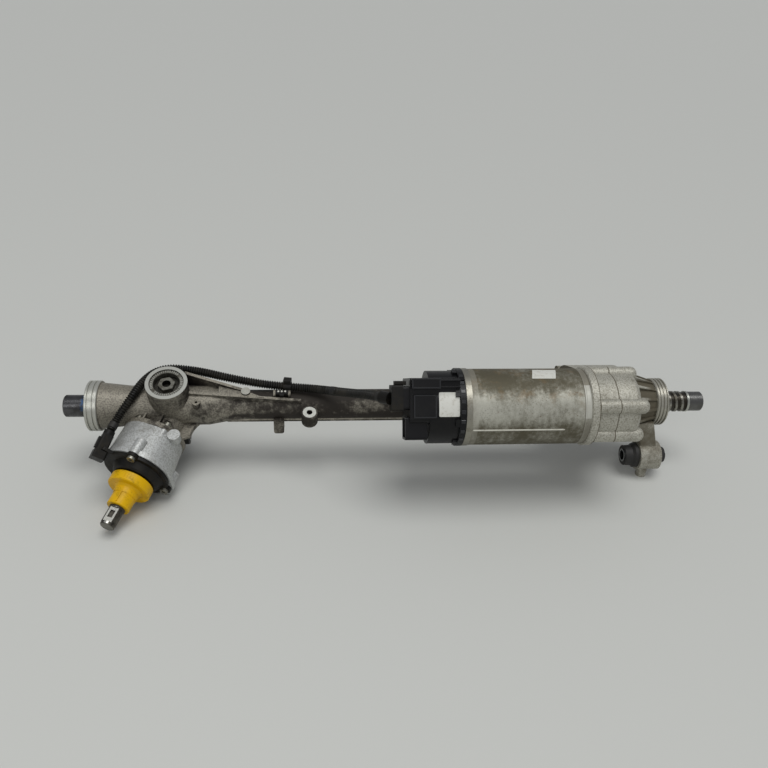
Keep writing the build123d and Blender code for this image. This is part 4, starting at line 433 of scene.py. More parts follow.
housing_skin = cast_aluminium(
    "grimy_sand_cast_aluminium_painted_highlights", "#8a8578", "#2b2620", (0.34, 0.64), 0.9,
    machined=[
        disc(YOKE_FOOT, YOKE_RING_R, YOKE_RING),
        between(-BAR_WAY, BAR_MIDDLE, LEFT_SEAT, 0.2, 0.85),
        disc(yoke_point(166, -23.5, 0), LUG_R, LUG_FACE),
        disc(yoke_point(90, 1, 0), SMALL_BOSS_R, SMALL_BOSS_FACE, 0.5),
    ],
    grimy=[on_tube, under_side, lit_edge_and_patches, lit_ribs_and_plate],
    metal=0.35,
    cut_shade="#c6c7bf",
)
wear(housing_skin, "rack_housing")
print("grimy casting on rack_housing")

# %% [markdown]
# The gear case and its cover are die castings, so they are paler and smoother
# than the tube. Handling and road film have stained them a warm cream, with
# dirt where the halves meet. They are darker towards the bottom, and painted
# shade darkens the pockets between the ribs. The motor's front plate is cast
# the same way, so it shares the finish. The bellows seat at the right end is
# turned bright.

# %% Gear case's finish
RIGHT_SEAT_R, RIGHT_SEAT = 31, (326.4, 342)
CONE = (283, 326)
ARM = (298, 342)
CASE_JOINT = (239.5, 240.5)
FLANGE_JOINT = (215.3, 216.6)
CASE_UP = Vector((0, -0.25, 0.97))


def darker_low_down(add, place):
    """Darker towards the lower part of the case."""
    return add("MapRange", distance_along(add, place, CASE_UP), -40 * MM, 45 * MM, 0.26, -0.08)


def shaded_cone_pockets(add, place):
    """Painted shade deep in the pockets between the ribs of the cone."""
    deep = add("MapRange", distance_from(add, place, BAR_WAY), 28 * MM, 36 * MM, 0.5, 0)
    on_cone = between(BAR_WAY, BAR_MIDDLE, CONE, 1.0)(add, place)
    return add("Math", deep, on_cone, operation="MULTIPLY")


def rubbed_arm(add, place):
    """Cleaner skin on the arm that carries the right mounting eye."""
    low = add("MapRange", distance_along(add, place, CASE_UP), -34 * MM, -24 * MM, -0.24, 0)
    on_arm = between(BAR_WAY, BAR_MIDDLE, ARM, 1.0)(add, place)
    return add("Math", low, on_arm, operation="MULTIPLY")


def joint_gaps(add, place):
    """Dirt caught where the case halves and the motor's flange meet."""
    gaps = [between(BAR_WAY, BAR_MIDDLE, joint, 0.3, 0.45)(add, place) for joint in (CASE_JOINT, FLANGE_JOINT)]
    return add("Math", *gaps, operation="ADD")


case_skin = cast_aluminium(
    "stained_and_shaded_die_cast_aluminium", "#b2b0a4", "#5f594a", (0.38, 0.78), 0.7,
    machined=[disc(BAR_MIDDLE, RIGHT_SEAT_R, RIGHT_SEAT, 0.8, BAR_WAY)],
    grimy=[darker_low_down, shaded_cone_pockets, rubbed_arm, joint_gaps],
    metal=0.35,
    cut_shade="#a9a69b",
)
wear(case_skin, "gear_housing", "gear_cover", "motor_flange")
sensor_skin = cast_aluminium("clean_die_cast_aluminium", "#bdbfbd", "#77756d", (0.46, 0.8), 0.6, metal=0.5)
wear(sensor_skin, "sensor_housing")
print("case castings done")

# %% [markdown]
# Turned aluminium and ground steel keep the fine rings of the tool. They could
# be left to an anisotropic shader, but lines in the bump also show how the
# piece was turned. They are noise, drawn out thin across the axis of the
# turning, so that the highlight spreads the way it does on the real face.

# %% Recipe for turned and ground metal
def turned_metal(name, shade, stain, axis, roughness, film_span=(0.5, 0.75), line_mm=0.5):
    """Metal with tool lines across the given axis direction, and thin stains."""
    material, add, place = new_material(name)
    stretch = tuple(1.0 if abs(part) > 0.5 else 0.04 for part in axis)
    drawn_out = add("VectorMath", place, stretch, operation="MULTIPLY")
    lines = add("TexNoise", drawn_out, per_metre(line_mm), 2, 0.5)
    film = add("MapRange", two_noises(add, place, (14, 5, 0.65), (2.2, 3, 0.6), 0.75), *film_span)
    shader = add(
        "BsdfPrincipled",
        Base_Color=add("Mix", film, shade, stain),
        Roughness=add("MapRange", film, 0, 1, roughness, roughness + 0.2),
        Metallic=1.0,
        Normal=add("Bump", Height=lines, Distance=0.03 * MM, Strength=0.5),
    )
    add("OutputMaterial", shader)
    return material


wear(turned_metal("turned_aluminium_face", "#a9a9a3", "#77746a", YOKE_DIR, 0.34), "yoke", "bearing_retainer")
wear(turned_metal("turned_aluminium_plate", "#979489", "#645e50", BAR_WAY, 0.42), "rear_plate", "heat_sink")
wear(
    turned_metal("ground_bearing_steel", "#a3a4a4", "#77756f", BAR_WAY, 0.22),
    "pinion_bearing_outer", "pinion_bearing_inner", "needle_cup", "needle_rollers", "nut_bearing_outer",
    "nut_bearing_inner", "motor_bearings", "bearing_ring", "lock_nut", "pinion_nut", "nut_pulley",
    "motor_pulley", "bush_sleeves",
)
wear(
    turned_metal("oiled_machined_steel", "#7d7d7c", "#4c4944", BAR_WAY, 0.3),
    "pinion_shaft", "ball_nut", "torsion_bar", "motor_shaft", "yoke_spring",
)
print("turned and ground metals done")

# %% [markdown]
# The yoke's adjuster plug is turned aluminium too, but it has a recess with a
# hexagon socket and a groove round its rim. Old dirt and painted shade darken
# all three. Height and distance from the plug's axis pick them out, which holds
# the shade and dirt to the shape exactly.

# %% Adjuster plug's finish
RECESS_TOP = (35.8, 37.5)
RECESS_WALL = (9.2, 10.4)
SOCKET_WALL = (4.9, 5.3)
GROOVE_WALL = (19.3, 19.7)
plug_skin, add, place = new_material("turned_adjuster_plug_dirt_and_shade")
from_centre = distance_from(add, place, YOKE_DIR, YOKE_FOOT)
plug_height = distance_along(add, place, YOKE_DIR, YOKE_FOOT)
plug_film = add("MapRange", add("TexNoise", place, per_metre(5), 5, 0.7), 0.35, 0.65)
plug_tone = add("Mix", plug_film, "#77766e", "#4a473f")
low_down = add("MapRange", plug_height, RECESS_TOP[0] * MM, RECESS_TOP[1] * MM, 1, 0)
past_boss = add("MapRange", from_centre, RECESS_WALL[0] * MM, RECESS_WALL[1] * MM)
recess_floor = add("Math", low_down, past_boss, operation="MULTIPLY")
socket = add("MapRange", from_centre, SOCKET_WALL[0] * MM, SOCKET_WALL[1] * MM, 1, 0)
rim_groove = add("MapRange", from_centre, GROOVE_WALL[0] * MM, GROOVE_WALL[1] * MM)
# Painted shade over old dirt: darker in the recess, the socket and the rim's groove.
for mask, amount, shade_and_dirt in (
    (recess_floor, 0.85, "#211f1b"), (socket, 0.9, "#14120f"), (rim_groove, 0.8, "#26231f")
):
    plug_tone = tint(add, plug_tone, mask, amount, shade_and_dirt)
plug_grain = add("TexNoise", place, per_metre(0.6), 2, 0.6)
shader = add(
    "BsdfPrincipled",
    Base_Color=plug_tone,
    Roughness=add("MapRange", plug_film, 0, 1, 0.36, 0.6),
    Metallic=0.8,
    Normal=add("Bump", Height=plug_grain, Distance=0.06 * MM, Strength=0.5),
)
add("OutputMaterial", shader)
wear(plug_skin, "yoke_plug")
print("adjuster plug done")

# %% [markdown]
# The motor is a die-cast can with a smooth satin coat. Heat and salt have
# stained it brown in soft patches, heavier along its top, and it is darker
# towards its foot. Small rust-coloured freckles sit where stones chipped the
# coat, and the machined bands at its ends have stayed pale, with a paler patch
# on the front of the rim band as a painted highlight. One noise would look like
# a camouflage print, so stains of several sizes lie over each other.

# %% Motor can's finish
BACK_BAND = (72, 79.5)
RIM_GROOVE = (198.8, 199.6)
RIM_BAND = (199.5, 206.6)
RIM_HIGHLIGHT = (-24, 13)
motor_skin, add, place = new_material("stained_satin_motor_can_painted_highlight")
height = distance_along(add, place, UP, MOTOR_AXIS)
stain = two_noises(add, place, (30, 5, 0.62), (4.5, 5, 0.7), 0.6)
top_dirt = add("MapRange", height, 26 * MM, 42 * MM, 0, 0.3)
below_line = add("MapRange", distance_along(add, place, DOWN, MOTOR_AXIS), 8 * MM, 26 * MM, 0, 0.26)
# Darker towards the can's foot, below the axis and low down.
darker_foot = add("Math", below_line, add("MapRange", height, -44 * MM, -20 * MM, 0.1, 0), operation="ADD")
stain = add("Math", stain, add("Math", top_dirt, darker_foot, operation="ADD"), operation="ADD")
run_down = add("VectorMath", place, (1.0, 0.22, 0.22), operation="MULTIPLY")
streaks = add("Math", add("TexNoise", run_down, per_metre(9), 3, 0.6), 0.5, operation="SUBTRACT")
stain = add("Math", stain, add("Math", streaks, 0.35, operation="MULTIPLY"), operation="ADD")
stain = add("MapRange", stain, 0.36, 0.86)
specks = add("MapRange", add("TexNoise", place, per_metre(1.5), 4, 0.75), 0.5, 0.68)
speck_zone = add("MapRange", add("TexNoise", place, per_metre(22), 3, 0.6), 0.36, 0.62, 0.25, 1)
specks = add("Math", specks, speck_zone, operation="MULTIPLY")
freckles = add("MapRange", add("TexNoise", place, per_metre(2.6), 2, 0.5), 0.66, 0.74)
freckle_zone = add("MapRange", add("TexNoise", place, per_metre(24), 2, 0.5), 0.5, 0.62)
freckles = add("Math", freckles, freckle_zone, operation="MULTIPLY")
rust = add("MapRange", add("TexNoise", place, per_metre(17), 6, 0.72), 0.5, 0.66)
rust_height = add("MapRange", height, 10 * MM, 34 * MM, 0, 0.35)
rust = add("Math", rust, rust_height, operation="MULTIPLY")
rim_band = between(BAR_WAY, BAR_MIDDLE, RIM_BAND, 0.2)(add, place)
# Painted highlight: a paler patch on the front of the rim band.
rim_highlight = add("Math", rim_band, between(DOWN, MOTOR_AXIS, RIM_HIGHLIGHT, 0.4)(add, place), operation="MULTIPLY")
skin_tone = tint(add, add("Mix", stain, "#b3b2a6", "#55503f"), specks, 0.6, "#4a4436")
skin_tone = tint(add, add("Mix", rust, skin_tone, "#7a6444"), freckles, 0.8, "#5a4430")
skin_tone = tint(add, skin_tone, rim_band, 0.45, "#a3a095")
skin_tone = tint(add, skin_tone, rim_highlight, 0.55, "#cfcfc6")
skin_tone = add("Mix", between(BAR_WAY, BAR_MIDDLE, RIM_GROOVE, 0.2, 0.7)(add, place), skin_tone, "#4a4538")
skin_tone = tint(add, skin_tone, between(BAR_WAY, BAR_MIDDLE, BACK_BAND, 0.15)(add, place), 0.35, "#a5a297")
shader = add(
    "BsdfPrincipled",
    Base_Color=skin_tone,
    Roughness=add("MapRange", stain, 0, 1, 0.42, 0.62),
    Metallic=0.4,
    Normal=add("Bump", Height=add("TexNoise", place, per_metre(0.8), 3, 0.6), Distance=0.06 * MM, Strength=0.5),
)
add("OutputMaterial", shader)
wear(motor_skin, "motor_housing")
print("motor can done")

# %% [markdown]
# The rack bar is ground and polished steel. Its left end is smooth and dark,
# with a film of old grease and a dab of blue inspection paint beside the
# housing. On the right the ball screw is hardened, so it is a browner grey.
# Past the screw come a bright ring and the plain end. The zones could be
# separate materials, but masks along X need no cut in the mesh.

# %% Rack bar's finish
SCREW_ZONE = (144, 373.5)
END_RING = (373.5, 376.5)
PAINT_DAB = (367.5, 374.0)
bar_skin, add, place = new_material("greased_ground_bar_steel")
film = add("MapRange", add("TexNoise", place, per_metre(18), 5, 0.65), 0.35, 0.7)
shade = add("Mix", film, "#5a5a5b", "#2f2d2c")
shade = tint(add, shade, between(BAR_WAY, BAR_MIDDLE, SCREW_ZONE, 0.4)(add, place), 0.75, "#3a352c")
shade = tint(add, shade, beyond(BAR_WAY, BAR_MIDDLE, END_RING[1])(add, place), 0.4, "#8a8a86")
shade = add("Mix", between(BAR_WAY, BAR_MIDDLE, END_RING, 0.2)(add, place), shade, "#b2b3ab")
dab_side = add("MapRange", distance_along(add, place, (0, -0.6, 0.8)), 7 * MM, 9.5 * MM)
dab = add("Math", between(-BAR_WAY, BAR_MIDDLE, PAINT_DAB, 2.2)(add, place), dab_side, operation="MULTIPLY")
brushed_edge = add("MapRange", add("TexNoise", place, per_metre(3), 4, 0.7), 0.4, 0.5)
dab = add("Math", dab, brushed_edge, operation="MULTIPLY")
film_gloss = add("MapRange", film, 0, 1, 0.24, 0.46)
ground_way = add("VectorMath", place, (1.0, 0.05, 0.05), operation="MULTIPLY")
grinding = add("TexNoise", ground_way, per_metre(0.35), 2, 0.5)
shader = add(
    "BsdfPrincipled",
    Base_Color=tint(add, shade, dab, 0.85, "#3c5d86"),
    Roughness=add("Math", film_gloss, add("Math", dab, 0.3, operation="MULTIPLY"), operation="ADD"),
    Metallic=1.0,
    Normal=add("Bump", Height=grinding, Distance=0.02 * MM, Strength=0.4),
)
add("OutputMaterial", shader)
wear(bar_skin, "rack_bar")
print("rack bar done")

# %% [markdown]
# The input shaft is forged and phosphated, which leaves a dark matt coat with
# a brown cast. The flat for the column's pinch bolt was milled after that, so
# it shines. The mask finds the flat as faces that look up, past the shoulder
# and at the flat's own height off the pinion's axis.

# %% Input shaft's finish
FLAT_START = 140.9
FLAT_HEIGHT = (6.6, 6.9)
END_FACE = 162.4
shaft_skin, add, place = new_material("phosphated_shaft_steel")
film = add("MapRange", add("TexNoise", place, per_metre(7), 5, 0.7), 0.35, 0.7)
milled = add("MapRange", facing(add, YOKE_DIR), 0.93, 0.985)
milled = add("Math", milled, beyond(PINION_DIR, PINION_FOOT, FLAT_START)(add, place), operation="MULTIPLY")
height = distance_along(add, place, YOKE_DIR, PINION_FOOT)
at_flat = add("MapRange", height, FLAT_HEIGHT[0] * MM, FLAT_HEIGHT[1] * MM)
milled = add("Math", milled, at_flat, operation="MULTIPLY")
coat = add("Mix", milled, add("Mix", film, "#5d5a52", "#35322d"), "#b9b8b0")
coat_grain = add("TexNoise", place, per_metre(0.7), 3, 0.6)
shader = add(
    "BsdfPrincipled",
    Base_Color=tint(add, coat, beyond(PINION_DIR, PINION_FOOT, END_FACE)(add, place), 0.6, "#8b8980"),
    Roughness=add("MapRange", milled, 0, 1, 0.45, 0.3),
    Metallic=0.85,
    Normal=add("Bump", Height=coat_grain, Distance=0.08 * MM, Strength=0.5),
)
add("OutputMaterial", shader)
wear(shaft_skin, "input_shaft")
print("input shaft done")

# %% [markdown]
# Moulded parts come next: glass-filled nylon round the electronics, a yellow
# nylon collar, polyethylene conduit and rubber. One recipe gives each its fine
# mould texture, its uneven gloss and the dust or grease that has settled on
# it. Old black nylon has lost its shine, so its reflections are held low.

# %% Recipe for moulded plastic and rubber
def moulded(name, shade, film_shade, film_span, roughness, texture_mm, depth_mm, shine=0.5):
    """Plastic or rubber with a film of dirt that dulls it."""
    material, add, place = new_material(name)
    film = add("MapRange", two_noises(add, place, (16, 5, 0.65), (1.8, 3, 0.6), 0.7), *film_span)
    texture = add("TexNoise", place, per_metre(texture_mm), 3, 0.6)
    shader = add(
        "BsdfPrincipled",
        Base_Color=add("Mix", film, shade, film_shade),
        Roughness=add("MapRange", film, 0, 1, roughness, roughness + 0.2),
        Specular_IOR_Level=shine,
        Normal=add("Bump", Height=texture, Distance=depth_mm * MM, Strength=0.5),
    )
    add("OutputMaterial", shader)
    return material


wear(
    moulded("black_glass_filled_nylon", "#0b0b0d", "#191815", (0.45, 0.8), 0.36, 0.6, 0.05, 0.22),
    "ecu_cover",
)
cover_plastic = wear(
    moulded("dusty_black_nylon", "#0e0d0b", "#262219", (0.42, 0.75), 0.5, 0.7, 0.08, 0.22),
    "sensor_cover", "sensor_plug", "harness_plug", "harness_clip", "vent_plug",
)
wear(
    moulded("yellow_moulded_collar", "#d6a800", "#6b5505", (0.46, 0.8), 0.42, 0.8, 0.05, 0.25),
    "index_collar",
)
conduit_plastic = wear(
    moulded("corrugated_conduit_plastic", "#121210", "#302d26", (0.4, 0.75), 0.42, 0.5, 0.03, 0.22),
    "harness_conduit",
)
wear(moulded("mounting_bush_rubber", "#1b1a18", "#37332b", (0.45, 0.8), 0.6, 0.5, 0.08), "bush_rubbers")
wear(moulded("red_brown_seal_rubber", "#4e2a20", "#2e1b15", (0.4, 0.75), 0.45, 0.5, 0.05), "shaft_seal")
wear(moulded("toothed_belt_rubber", "#1c1c1c", "#2a2a28", (0.4, 0.8), 0.6, 0.4, 0.08), "drive_belt")
wear(
    moulded("white_sliding_plastic", "#c9c4b2", "#9b917a", (0.45, 0.8), 0.4, 0.8, 0.03),
    "yoke_liner", "rack_bush", "end_stops",
)
print("plastics and rubbers done")

# %% [markdown]
# Screws are zinc plated: a pale grey with a faint yellow cast, dulled by white
# rust. The motor's copper, its magnets and the electronics are hidden until
# the model is opened. They could go without, but the parts are used one by one
# in the library, so each gets its own finish.

# %% Screws, copper, magnets and electronics
wear(
    turned_metal("dulled_zinc_plate", "#9b9a90", "#6d685b", BAR_WAY, 0.42, (0.4, 0.7), 0.8),
    "case_bolts", "tube_bolts", "motor_screws", "tower_screws", "cover_screws",
)
wear(
    turned_metal("enamelled_copper_wire", "#a8562c", "#7a3a1e", (0, 1, 0), 0.28, (0.4, 0.7), 0.9),
    "windings",
)
wear(
    moulded("nickel_coated_magnet", "#6d6d6f", "#4c4b4a", (0.4, 0.8), 0.35, 0.8, 0.02),
    "rotor_magnets", "sensor_magnet", "flux_rings",
)
wear(moulded("green_circuit_board", "#1d4a2e", "#163822", (0.35, 0.7), 0.4, 1.4, 0.03), "circuit_board")
wear(turned_metal("capacitor_can_aluminium", "#a9abad", "#8b8d90", BAR_WAY, 0.3), "capacitors")
wear(turned_metal("tinned_contact", "#b5b6b2", "#8f8e87", BAR_WAY, 0.3), "ecu_pins")
print("hidden finishes done")

# %% [markdown]
# The motor's iron is a stack of punched sheets 0.35 mm thick, insulated from
# each other, so its sides show fine stripes. A wave texture draws them. It
# turns 20 radians per unit of its scale, so at this scale one band stands for
# about six sheets, because single sheets are too fine to see.

# %% Laminations
SHEET_MM = 0.35
WAVE_RADIANS = 20
lamination, add, place = new_material("stacked_lamination_steel")
wave = add("TexWave", place, per_metre(SHEET_MM) / WAVE_RADIANS, 0.0, bands_direction="X").node
sheets = wave.outputs["Fac"]
shader = add(
    "BsdfPrincipled",
    Base_Color=add("Mix", sheets, "#4d4e50", "#77777a"),
    Roughness=add("MapRange", sheets, 0, 1, 0.5, 0.35),
    Metallic=1.0,
    Normal=add("Bump", Height=sheets, Distance=0.05 * MM, Strength=0.6),
)
add("OutputMaterial", shader)
wear(lamination, "stator_core", "rotor_core")
print("laminations done")

# %% [markdown]
# Now the fine shapes. Each is a mesh built from rings of points and rides on one
# CAD body. They could be modelled by hand, but rings follow an axis or a route
# exactly. A few helpers do the work: rings, the skin between them, a bevelled
# block, and one that sets the finish, the shading and the body.

# %% Mesh helpers
def ring(centre, first, second, radius, count):
    """Points round a centre, in a circle of the plane of two unit vectors."""
    turns = (2 * math.pi * k / count for k in range(count))
    return [centre + (first * math.cos(turn) + second * math.sin(turn)) * radius for turn in turns]


def joined_rings(rings):
    """Vertices and faces of a skin over rings with as many points each, closed at both ends."""
    count = len(rings[0])
    points = [point for one_ring in rings for point in one_ring]
    faces = []
    for row in range(len(rings) - 1):
        for k in range(count):
            a, b = row * count + k, row * count + (k + 1) % count
            faces.append((a, b, b + count, a + count))
    last = (len(rings) - 1) * count
    faces += [tuple(reversed(range(count))), tuple(range(last, last + count))]
    return points, faces


def merged_solids(solids):
    """One list of points and faces from several."""
    points, faces = [], []
    for more_points, more_faces in solids:
        start = len(points)
        points += list(more_points)
        faces += [tuple(start + k for k in face) for face in more_faces]
    return points, faces


def block(centre, along, across, up, lengths_mm, bevel_mm):
    """A bar with two bevelled long edges; along, across and up are unit vectors."""
    half_a, half_b, half_c = (v / 2 * MM for v in lengths_mm)
    bevel = bevel_mm * MM
    outline = (
        (-half_b, -half_c), (half_b, -half_c), (half_b, half_c - bevel), (half_b - bevel, half_c),
        (-half_b + bevel, half_c), (-half_b, half_c - bevel),
    )
    return joined_rings(
        [[Vector(centre) + along * end + across * y + up * z for y, z in outline] for end in (-half_a, half_a)]
    )


def make_piece(name, skin, material, body="housing", sharp_degrees=35):
    """A finished mesh piece that rides on a body; skin is its points and faces."""
    points, faces = skin
    mesh = bpy.data.meshes.new(name)
    mesh.from_pydata([tuple(p) for p in points], [], faces)
    shaped = bmesh.new()
    shaped.from_mesh(mesh)
    bmesh.ops.recalc_face_normals(shaped, faces=shaped.faces)
    shaped.to_mesh(mesh)
    shaped.free()
    mesh.shade_smooth()
    mesh.set_sharp_from_angle(angle=math.radians(sharp_degrees))
    mesh.materials.append(material)
    piece = bpy.data.objects.new(name, mesh)
    scene_objects.link(piece)
    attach(piece, body)
    print(name, len(faces), "faces")
    return piece


print("mesh helpers ready")

# %% [markdown]
# The ball screw is a bar with a right-hand helical groove of 8 mm lead. The
# CAD bar has the groove's root as a plain cylinder, so the land between two
# turns of the groove is laid on it as a helical ridge that fades out at both
# ends, where the grinding wheel lifts. The balls have polished the land.

# %% Ball screw ridge
SCREW_START, SCREW_END = 147.5, 372.8
SCREW_LEAD = 8.0
SCREW_ROOT, SCREW_CREST = 11.9, 13.2
LAND_FOOT, LAND_TOP = 2.3, 1.5
FADE_TURNS = 0.6
STEPS_PER_TURN = 40
screw_rings = []
turns = (SCREW_END - SCREW_START) / SCREW_LEAD
for step in range(int(turns * STEPS_PER_TURN) + 1):
    turned = step / STEPS_PER_TURN
    station = SCREW_START + SCREW_LEAD * turned
    fade = max(0.0, min(1.0, turned / FADE_TURNS, (turns - turned) / FADE_TURNS))
    crest = SCREW_ROOT + (SCREW_CREST - SCREW_ROOT) * fade
    angle = 2 * math.pi * turned
    outward = Vector((0, math.cos(angle), math.sin(angle)))
    section = ((-LAND_FOOT, SCREW_ROOT), (-LAND_TOP, crest), (LAND_TOP, crest), (LAND_FOOT, SCREW_ROOT))
    screw_rings.append([(BAR_WAY * (station + shift) + outward * radius) * MM for shift, radius in section])
land_steel, add, place = new_material("worn_ball_screw_land")
land_film = add("MapRange", add("TexNoise", place, per_metre(6), 5, 0.7), 0.35, 0.65)
shader = add(
    "BsdfPrincipled",
    Base_Color=add("Mix", land_film, "#9a988f", "#57534a"),
    Roughness=add("MapRange", land_film, 0, 1, 0.22, 0.5),
    Metallic=1.0,
)
add("OutputMaterial", shader)
make_piece("ball_screw_ridge", joined_rings(screw_rings), land_steel, "rack")

# %% [markdown]
# The harness runs in corrugated conduit, from the sensor's plug over the
# housing to the control unit. A plain tube with a ribbed bump would show a
# smooth outline, so the ribs are real: rings that step between a crest and a
# root every 2.9 mm, along one smooth NURBS line. It replaces the CAD tube.

# %% Conduit's route
CONDUIT_ROUTE = (
    (-333.165, -48.867, -2.055), (-328.4, -37.5, 3.5), (-320.5, -30.5, 14.5), (-312, -20.5, 24),
    (-302.5, -1.5, 33), (-290.5, 16, 37), (-274, 25.5, 37), (-253, 25, 35), (-232, 20, 34),
    (-212, 14, 32), (-186, 9, 28.7), (-160, 5, 25.8), (-134, 1, 25), (-108, -3, 25), (-84, -13, 28),
    (-63, -30, 35.5), (-46, -50, 46), (-33.5, -68.5, 55.5), (-22, -80, 60),
)


def smooth_route(corners, step_mm):
    """Points, directions and lengths every step_mm along the NURBS line of the route."""
    line = bpy.data.curves.new("conduit_route", "CURVE")
    line.dimensions = "3D"
    line.resolution_u = 24
    spline = line.splines.new("NURBS")
    spline.points.add(len(corners) - 1)
    for point, corner in zip(spline.points, corners):
        point.co = (*corner, 1)
    spline.order_u = 3
    spline.use_endpoint_u = True
    carrier = bpy.data.objects.new("conduit_route", line)
    read = bpy.data.meshes.new_from_object(carrier)
    track = [vertex.co.copy() for vertex in read.vertices]
    bpy.data.objects.remove(carrier)
    bpy.data.curves.remove(line)
    bpy.data.meshes.remove(read)
    lengths = [0.0]
    for a, b in zip(track, track[1:]):
        lengths.append(lengths[-1] + (b - a).length)
    made, k = [], 0
    count = int(lengths[-1] / step_mm)
    for n in range(count + 1):
        target = lengths[-1] * n / count
        while k < len(track) - 2 and lengths[k + 1] < target:
            k += 1
        share = (target - lengths[k]) / max(lengths[k + 1] - lengths[k], 1e-6)
        way = (track[k + 1] - track[k]).normalized()
        made.append((track[k].lerp(track[k + 1], share), way, target))
    return made


walk = smooth_route(CONDUIT_ROUTE, 1.0)
print("conduit is", round(walk[-1][2]), "mm long")

# %% [markdown]
# Each rib is a flat crest, a flat root and two short slopes between them. The
# slopes are what catch the light as a row of fine lines.

# %% Corrugated conduit
RIB_PITCH = 2.9
CREST_R, ROOT_R = 5.2, 3.9
SAMPLES_PER_RIB = 6
RIB_STEEPNESS, RIB_ROOT_SHARE = 5.0, 0.6
SECTION_POINTS = 20
conduit_rings = []
side_way = UP
for centre, way, travelled in smooth_route(CONDUIT_ROUTE, RIB_PITCH / SAMPLES_PER_RIB):
    side_way = (side_way - way * side_way.dot(way)).normalized()
    phase = (travelled / RIB_PITCH) % 1.0
    rise = min(1.0, max(0.0, RIB_STEEPNESS * min(phase, 1 - phase) - RIB_ROOT_SHARE))
    radius = ROOT_R + (CREST_R - ROOT_R) * rise
    conduit_rings.append(
        ring(centre * MM, side_way, way.cross(side_way), radius * MM, SECTION_POINTS)
    )
conduit = make_piece(
    "conduit_corrugated", joined_rings(conduit_rings), conduit_plastic, sharp_degrees=60
)
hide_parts("harness_conduit")

# %% [markdown]
# The control unit carries a bare white label on its rounded front, and a
# smaller white sticker lies on top of the motor can. Both are printed paper
# with a clear film, left blank here. A flat card would stand off a round
# surface, so each is a thin patch: an outline with rounded corners, shrunk in
# steps towards its middle and laid on the surface point by point.

# %% Bare label and sticker
LABEL_CORNERS = [(35.6, -17.2), (58.4, -17.2), (58.4, 9.6), (35.6, 9.6)]
STICKER_CORNERS = [(147.5, -55.3), (174.5, -54.8), (169.5, -35.4), (142.5, -35.6)]
GLUE_MM = 0.04
LOBE_R, FLAT_FRONT = 41.5, 39.0
CAN_R = 43.6


def curved_patch(outline, surface, thick_mm):
    """A thin patch: outline is in two directions of its own, surface gives their point and normal."""
    middle_u = sum(u for u, v in outline) / len(outline)
    middle_v = sum(v for u, v in outline) / len(outline)
    steps = [(1.0, 0.0)] + [(share, thick_mm) for share in (1.0, 0.8, 0.6, 0.4, 0.2, 0.02)]
    rings = []
    for share, lift in steps:
        rings.append([])
        for u, v in outline:
            point, normal = surface(middle_u + (u - middle_u) * share, middle_v + (v - middle_v) * share)
            rings[-1].append(point + normal * (GLUE_MM + lift) * MM)
    return joined_rings(rings)


def rounded_quad(corners, radius, per_side=8, per_corner=4):
    """Outline of a four-cornered shape with rounded corners and points along its sides."""
    outline = []
    corners = [Vector(corner) for corner in corners]
    for before, corner, after in zip(corners[-1:] + corners[:-1], corners, corners[1:] + corners[:1]):
        start = corner + (before - corner).normalized() * radius
        finish = corner + (after - corner).normalized() * radius
        for k in range(per_corner + 1):
            t = k / per_corner
            outline.append(tuple(start * (1 - t) ** 2 + corner * 2 * t * (1 - t) + finish * t**2))
        next_start = after + (corner - after).normalized() * radius
        for k in range(1, per_side):
            outline.append(tuple(finish.lerp(next_start, k / per_side)))
    return outline


def unit_front(x, down):
    """The control unit's front: flat, with a round lobe that stands out of it."""
    round_front = math.sqrt(LOBE_R**2 - down**2)
    if round_front > FLAT_FRONT:
        return motor_point(x, round_front, down), (FRONT * round_front + DOWN * down).normalized()
    return motor_point(x, FLAT_FRONT, down), FRONT


def can_side(x, arc):
    """The motor can, where arc is millimetres round it, downwards from its front."""
    normal = FRONT * math.cos(arc / CAN_R) + DOWN * math.sin(arc / CAN_R)
    return MOTOR_AXIS + (BAR_WAY * x + normal * CAN_R) * MM, normal


label_paper, add, place = new_material("bare_white_label")
paper_dirt = add("MapRange", add("TexNoise", place, per_metre(5), 5, 0.7), 0.5, 0.75)
cockle = add("TexNoise", place, per_metre(3), 2, 0.5)
shader = add(
    "BsdfPrincipled",
    Base_Color=add("Mix", paper_dirt, "#cfcfc7", "#b3b0a4"),
    Roughness=0.4,
    Normal=add("Bump", Height=cockle, Distance=0.03 * MM, Strength=0.4),
)
add("OutputMaterial", shader)
label_skin = curved_patch(rounded_quad(LABEL_CORNERS, 1.6), unit_front, 0.12)
make_piece("unit_label", label_skin, label_paper)
sticker_skin = curved_patch(rounded_quad(STICKER_CORNERS, 0.5), can_side, 0.1)
make_piece("motor_sticker", sticker_skin, label_paper)

# %% [markdown]
# The yoke's adjuster is locked by a ring of fine serrations round its rim,
# broken by two wrench notches. They are pressed into the real plug. Here each
# is a small bar that stands on the rim and points at the plug's middle.

# %% Adjuster plug's serrations
SERRATIONS = 44
RIM_R, RIM_HEIGHT = 17.5, 42.76
NOTCH_TURN, NOTCH_SHARE = 0.6, 0.13
SERRATION_SIZE = (2.9, 1.25, 0.42)
serrations = []
for k in range(SERRATIONS):
    turn = 2 * math.pi * k / SERRATIONS
    if abs(math.sin(turn - NOTCH_TURN)) < NOTCH_SHARE:
        continue
    outward = BAR_WAY * math.cos(turn) + YOKE_SIDE * math.sin(turn)
    centre = YOKE_FOOT + (outward * RIM_R + YOKE_DIR * RIM_HEIGHT) * MM
    serrations.append(block(centre, outward, YOKE_DIR.cross(outward), YOKE_DIR, SERRATION_SIZE, 0.3))
rim_metal = turned_metal("rubbed_plug_rim", "#a5a59e", "#6b6960", YOKE_DIR, 0.4)
make_piece("plug_serrations", merged_solids(serrations), rim_metal)
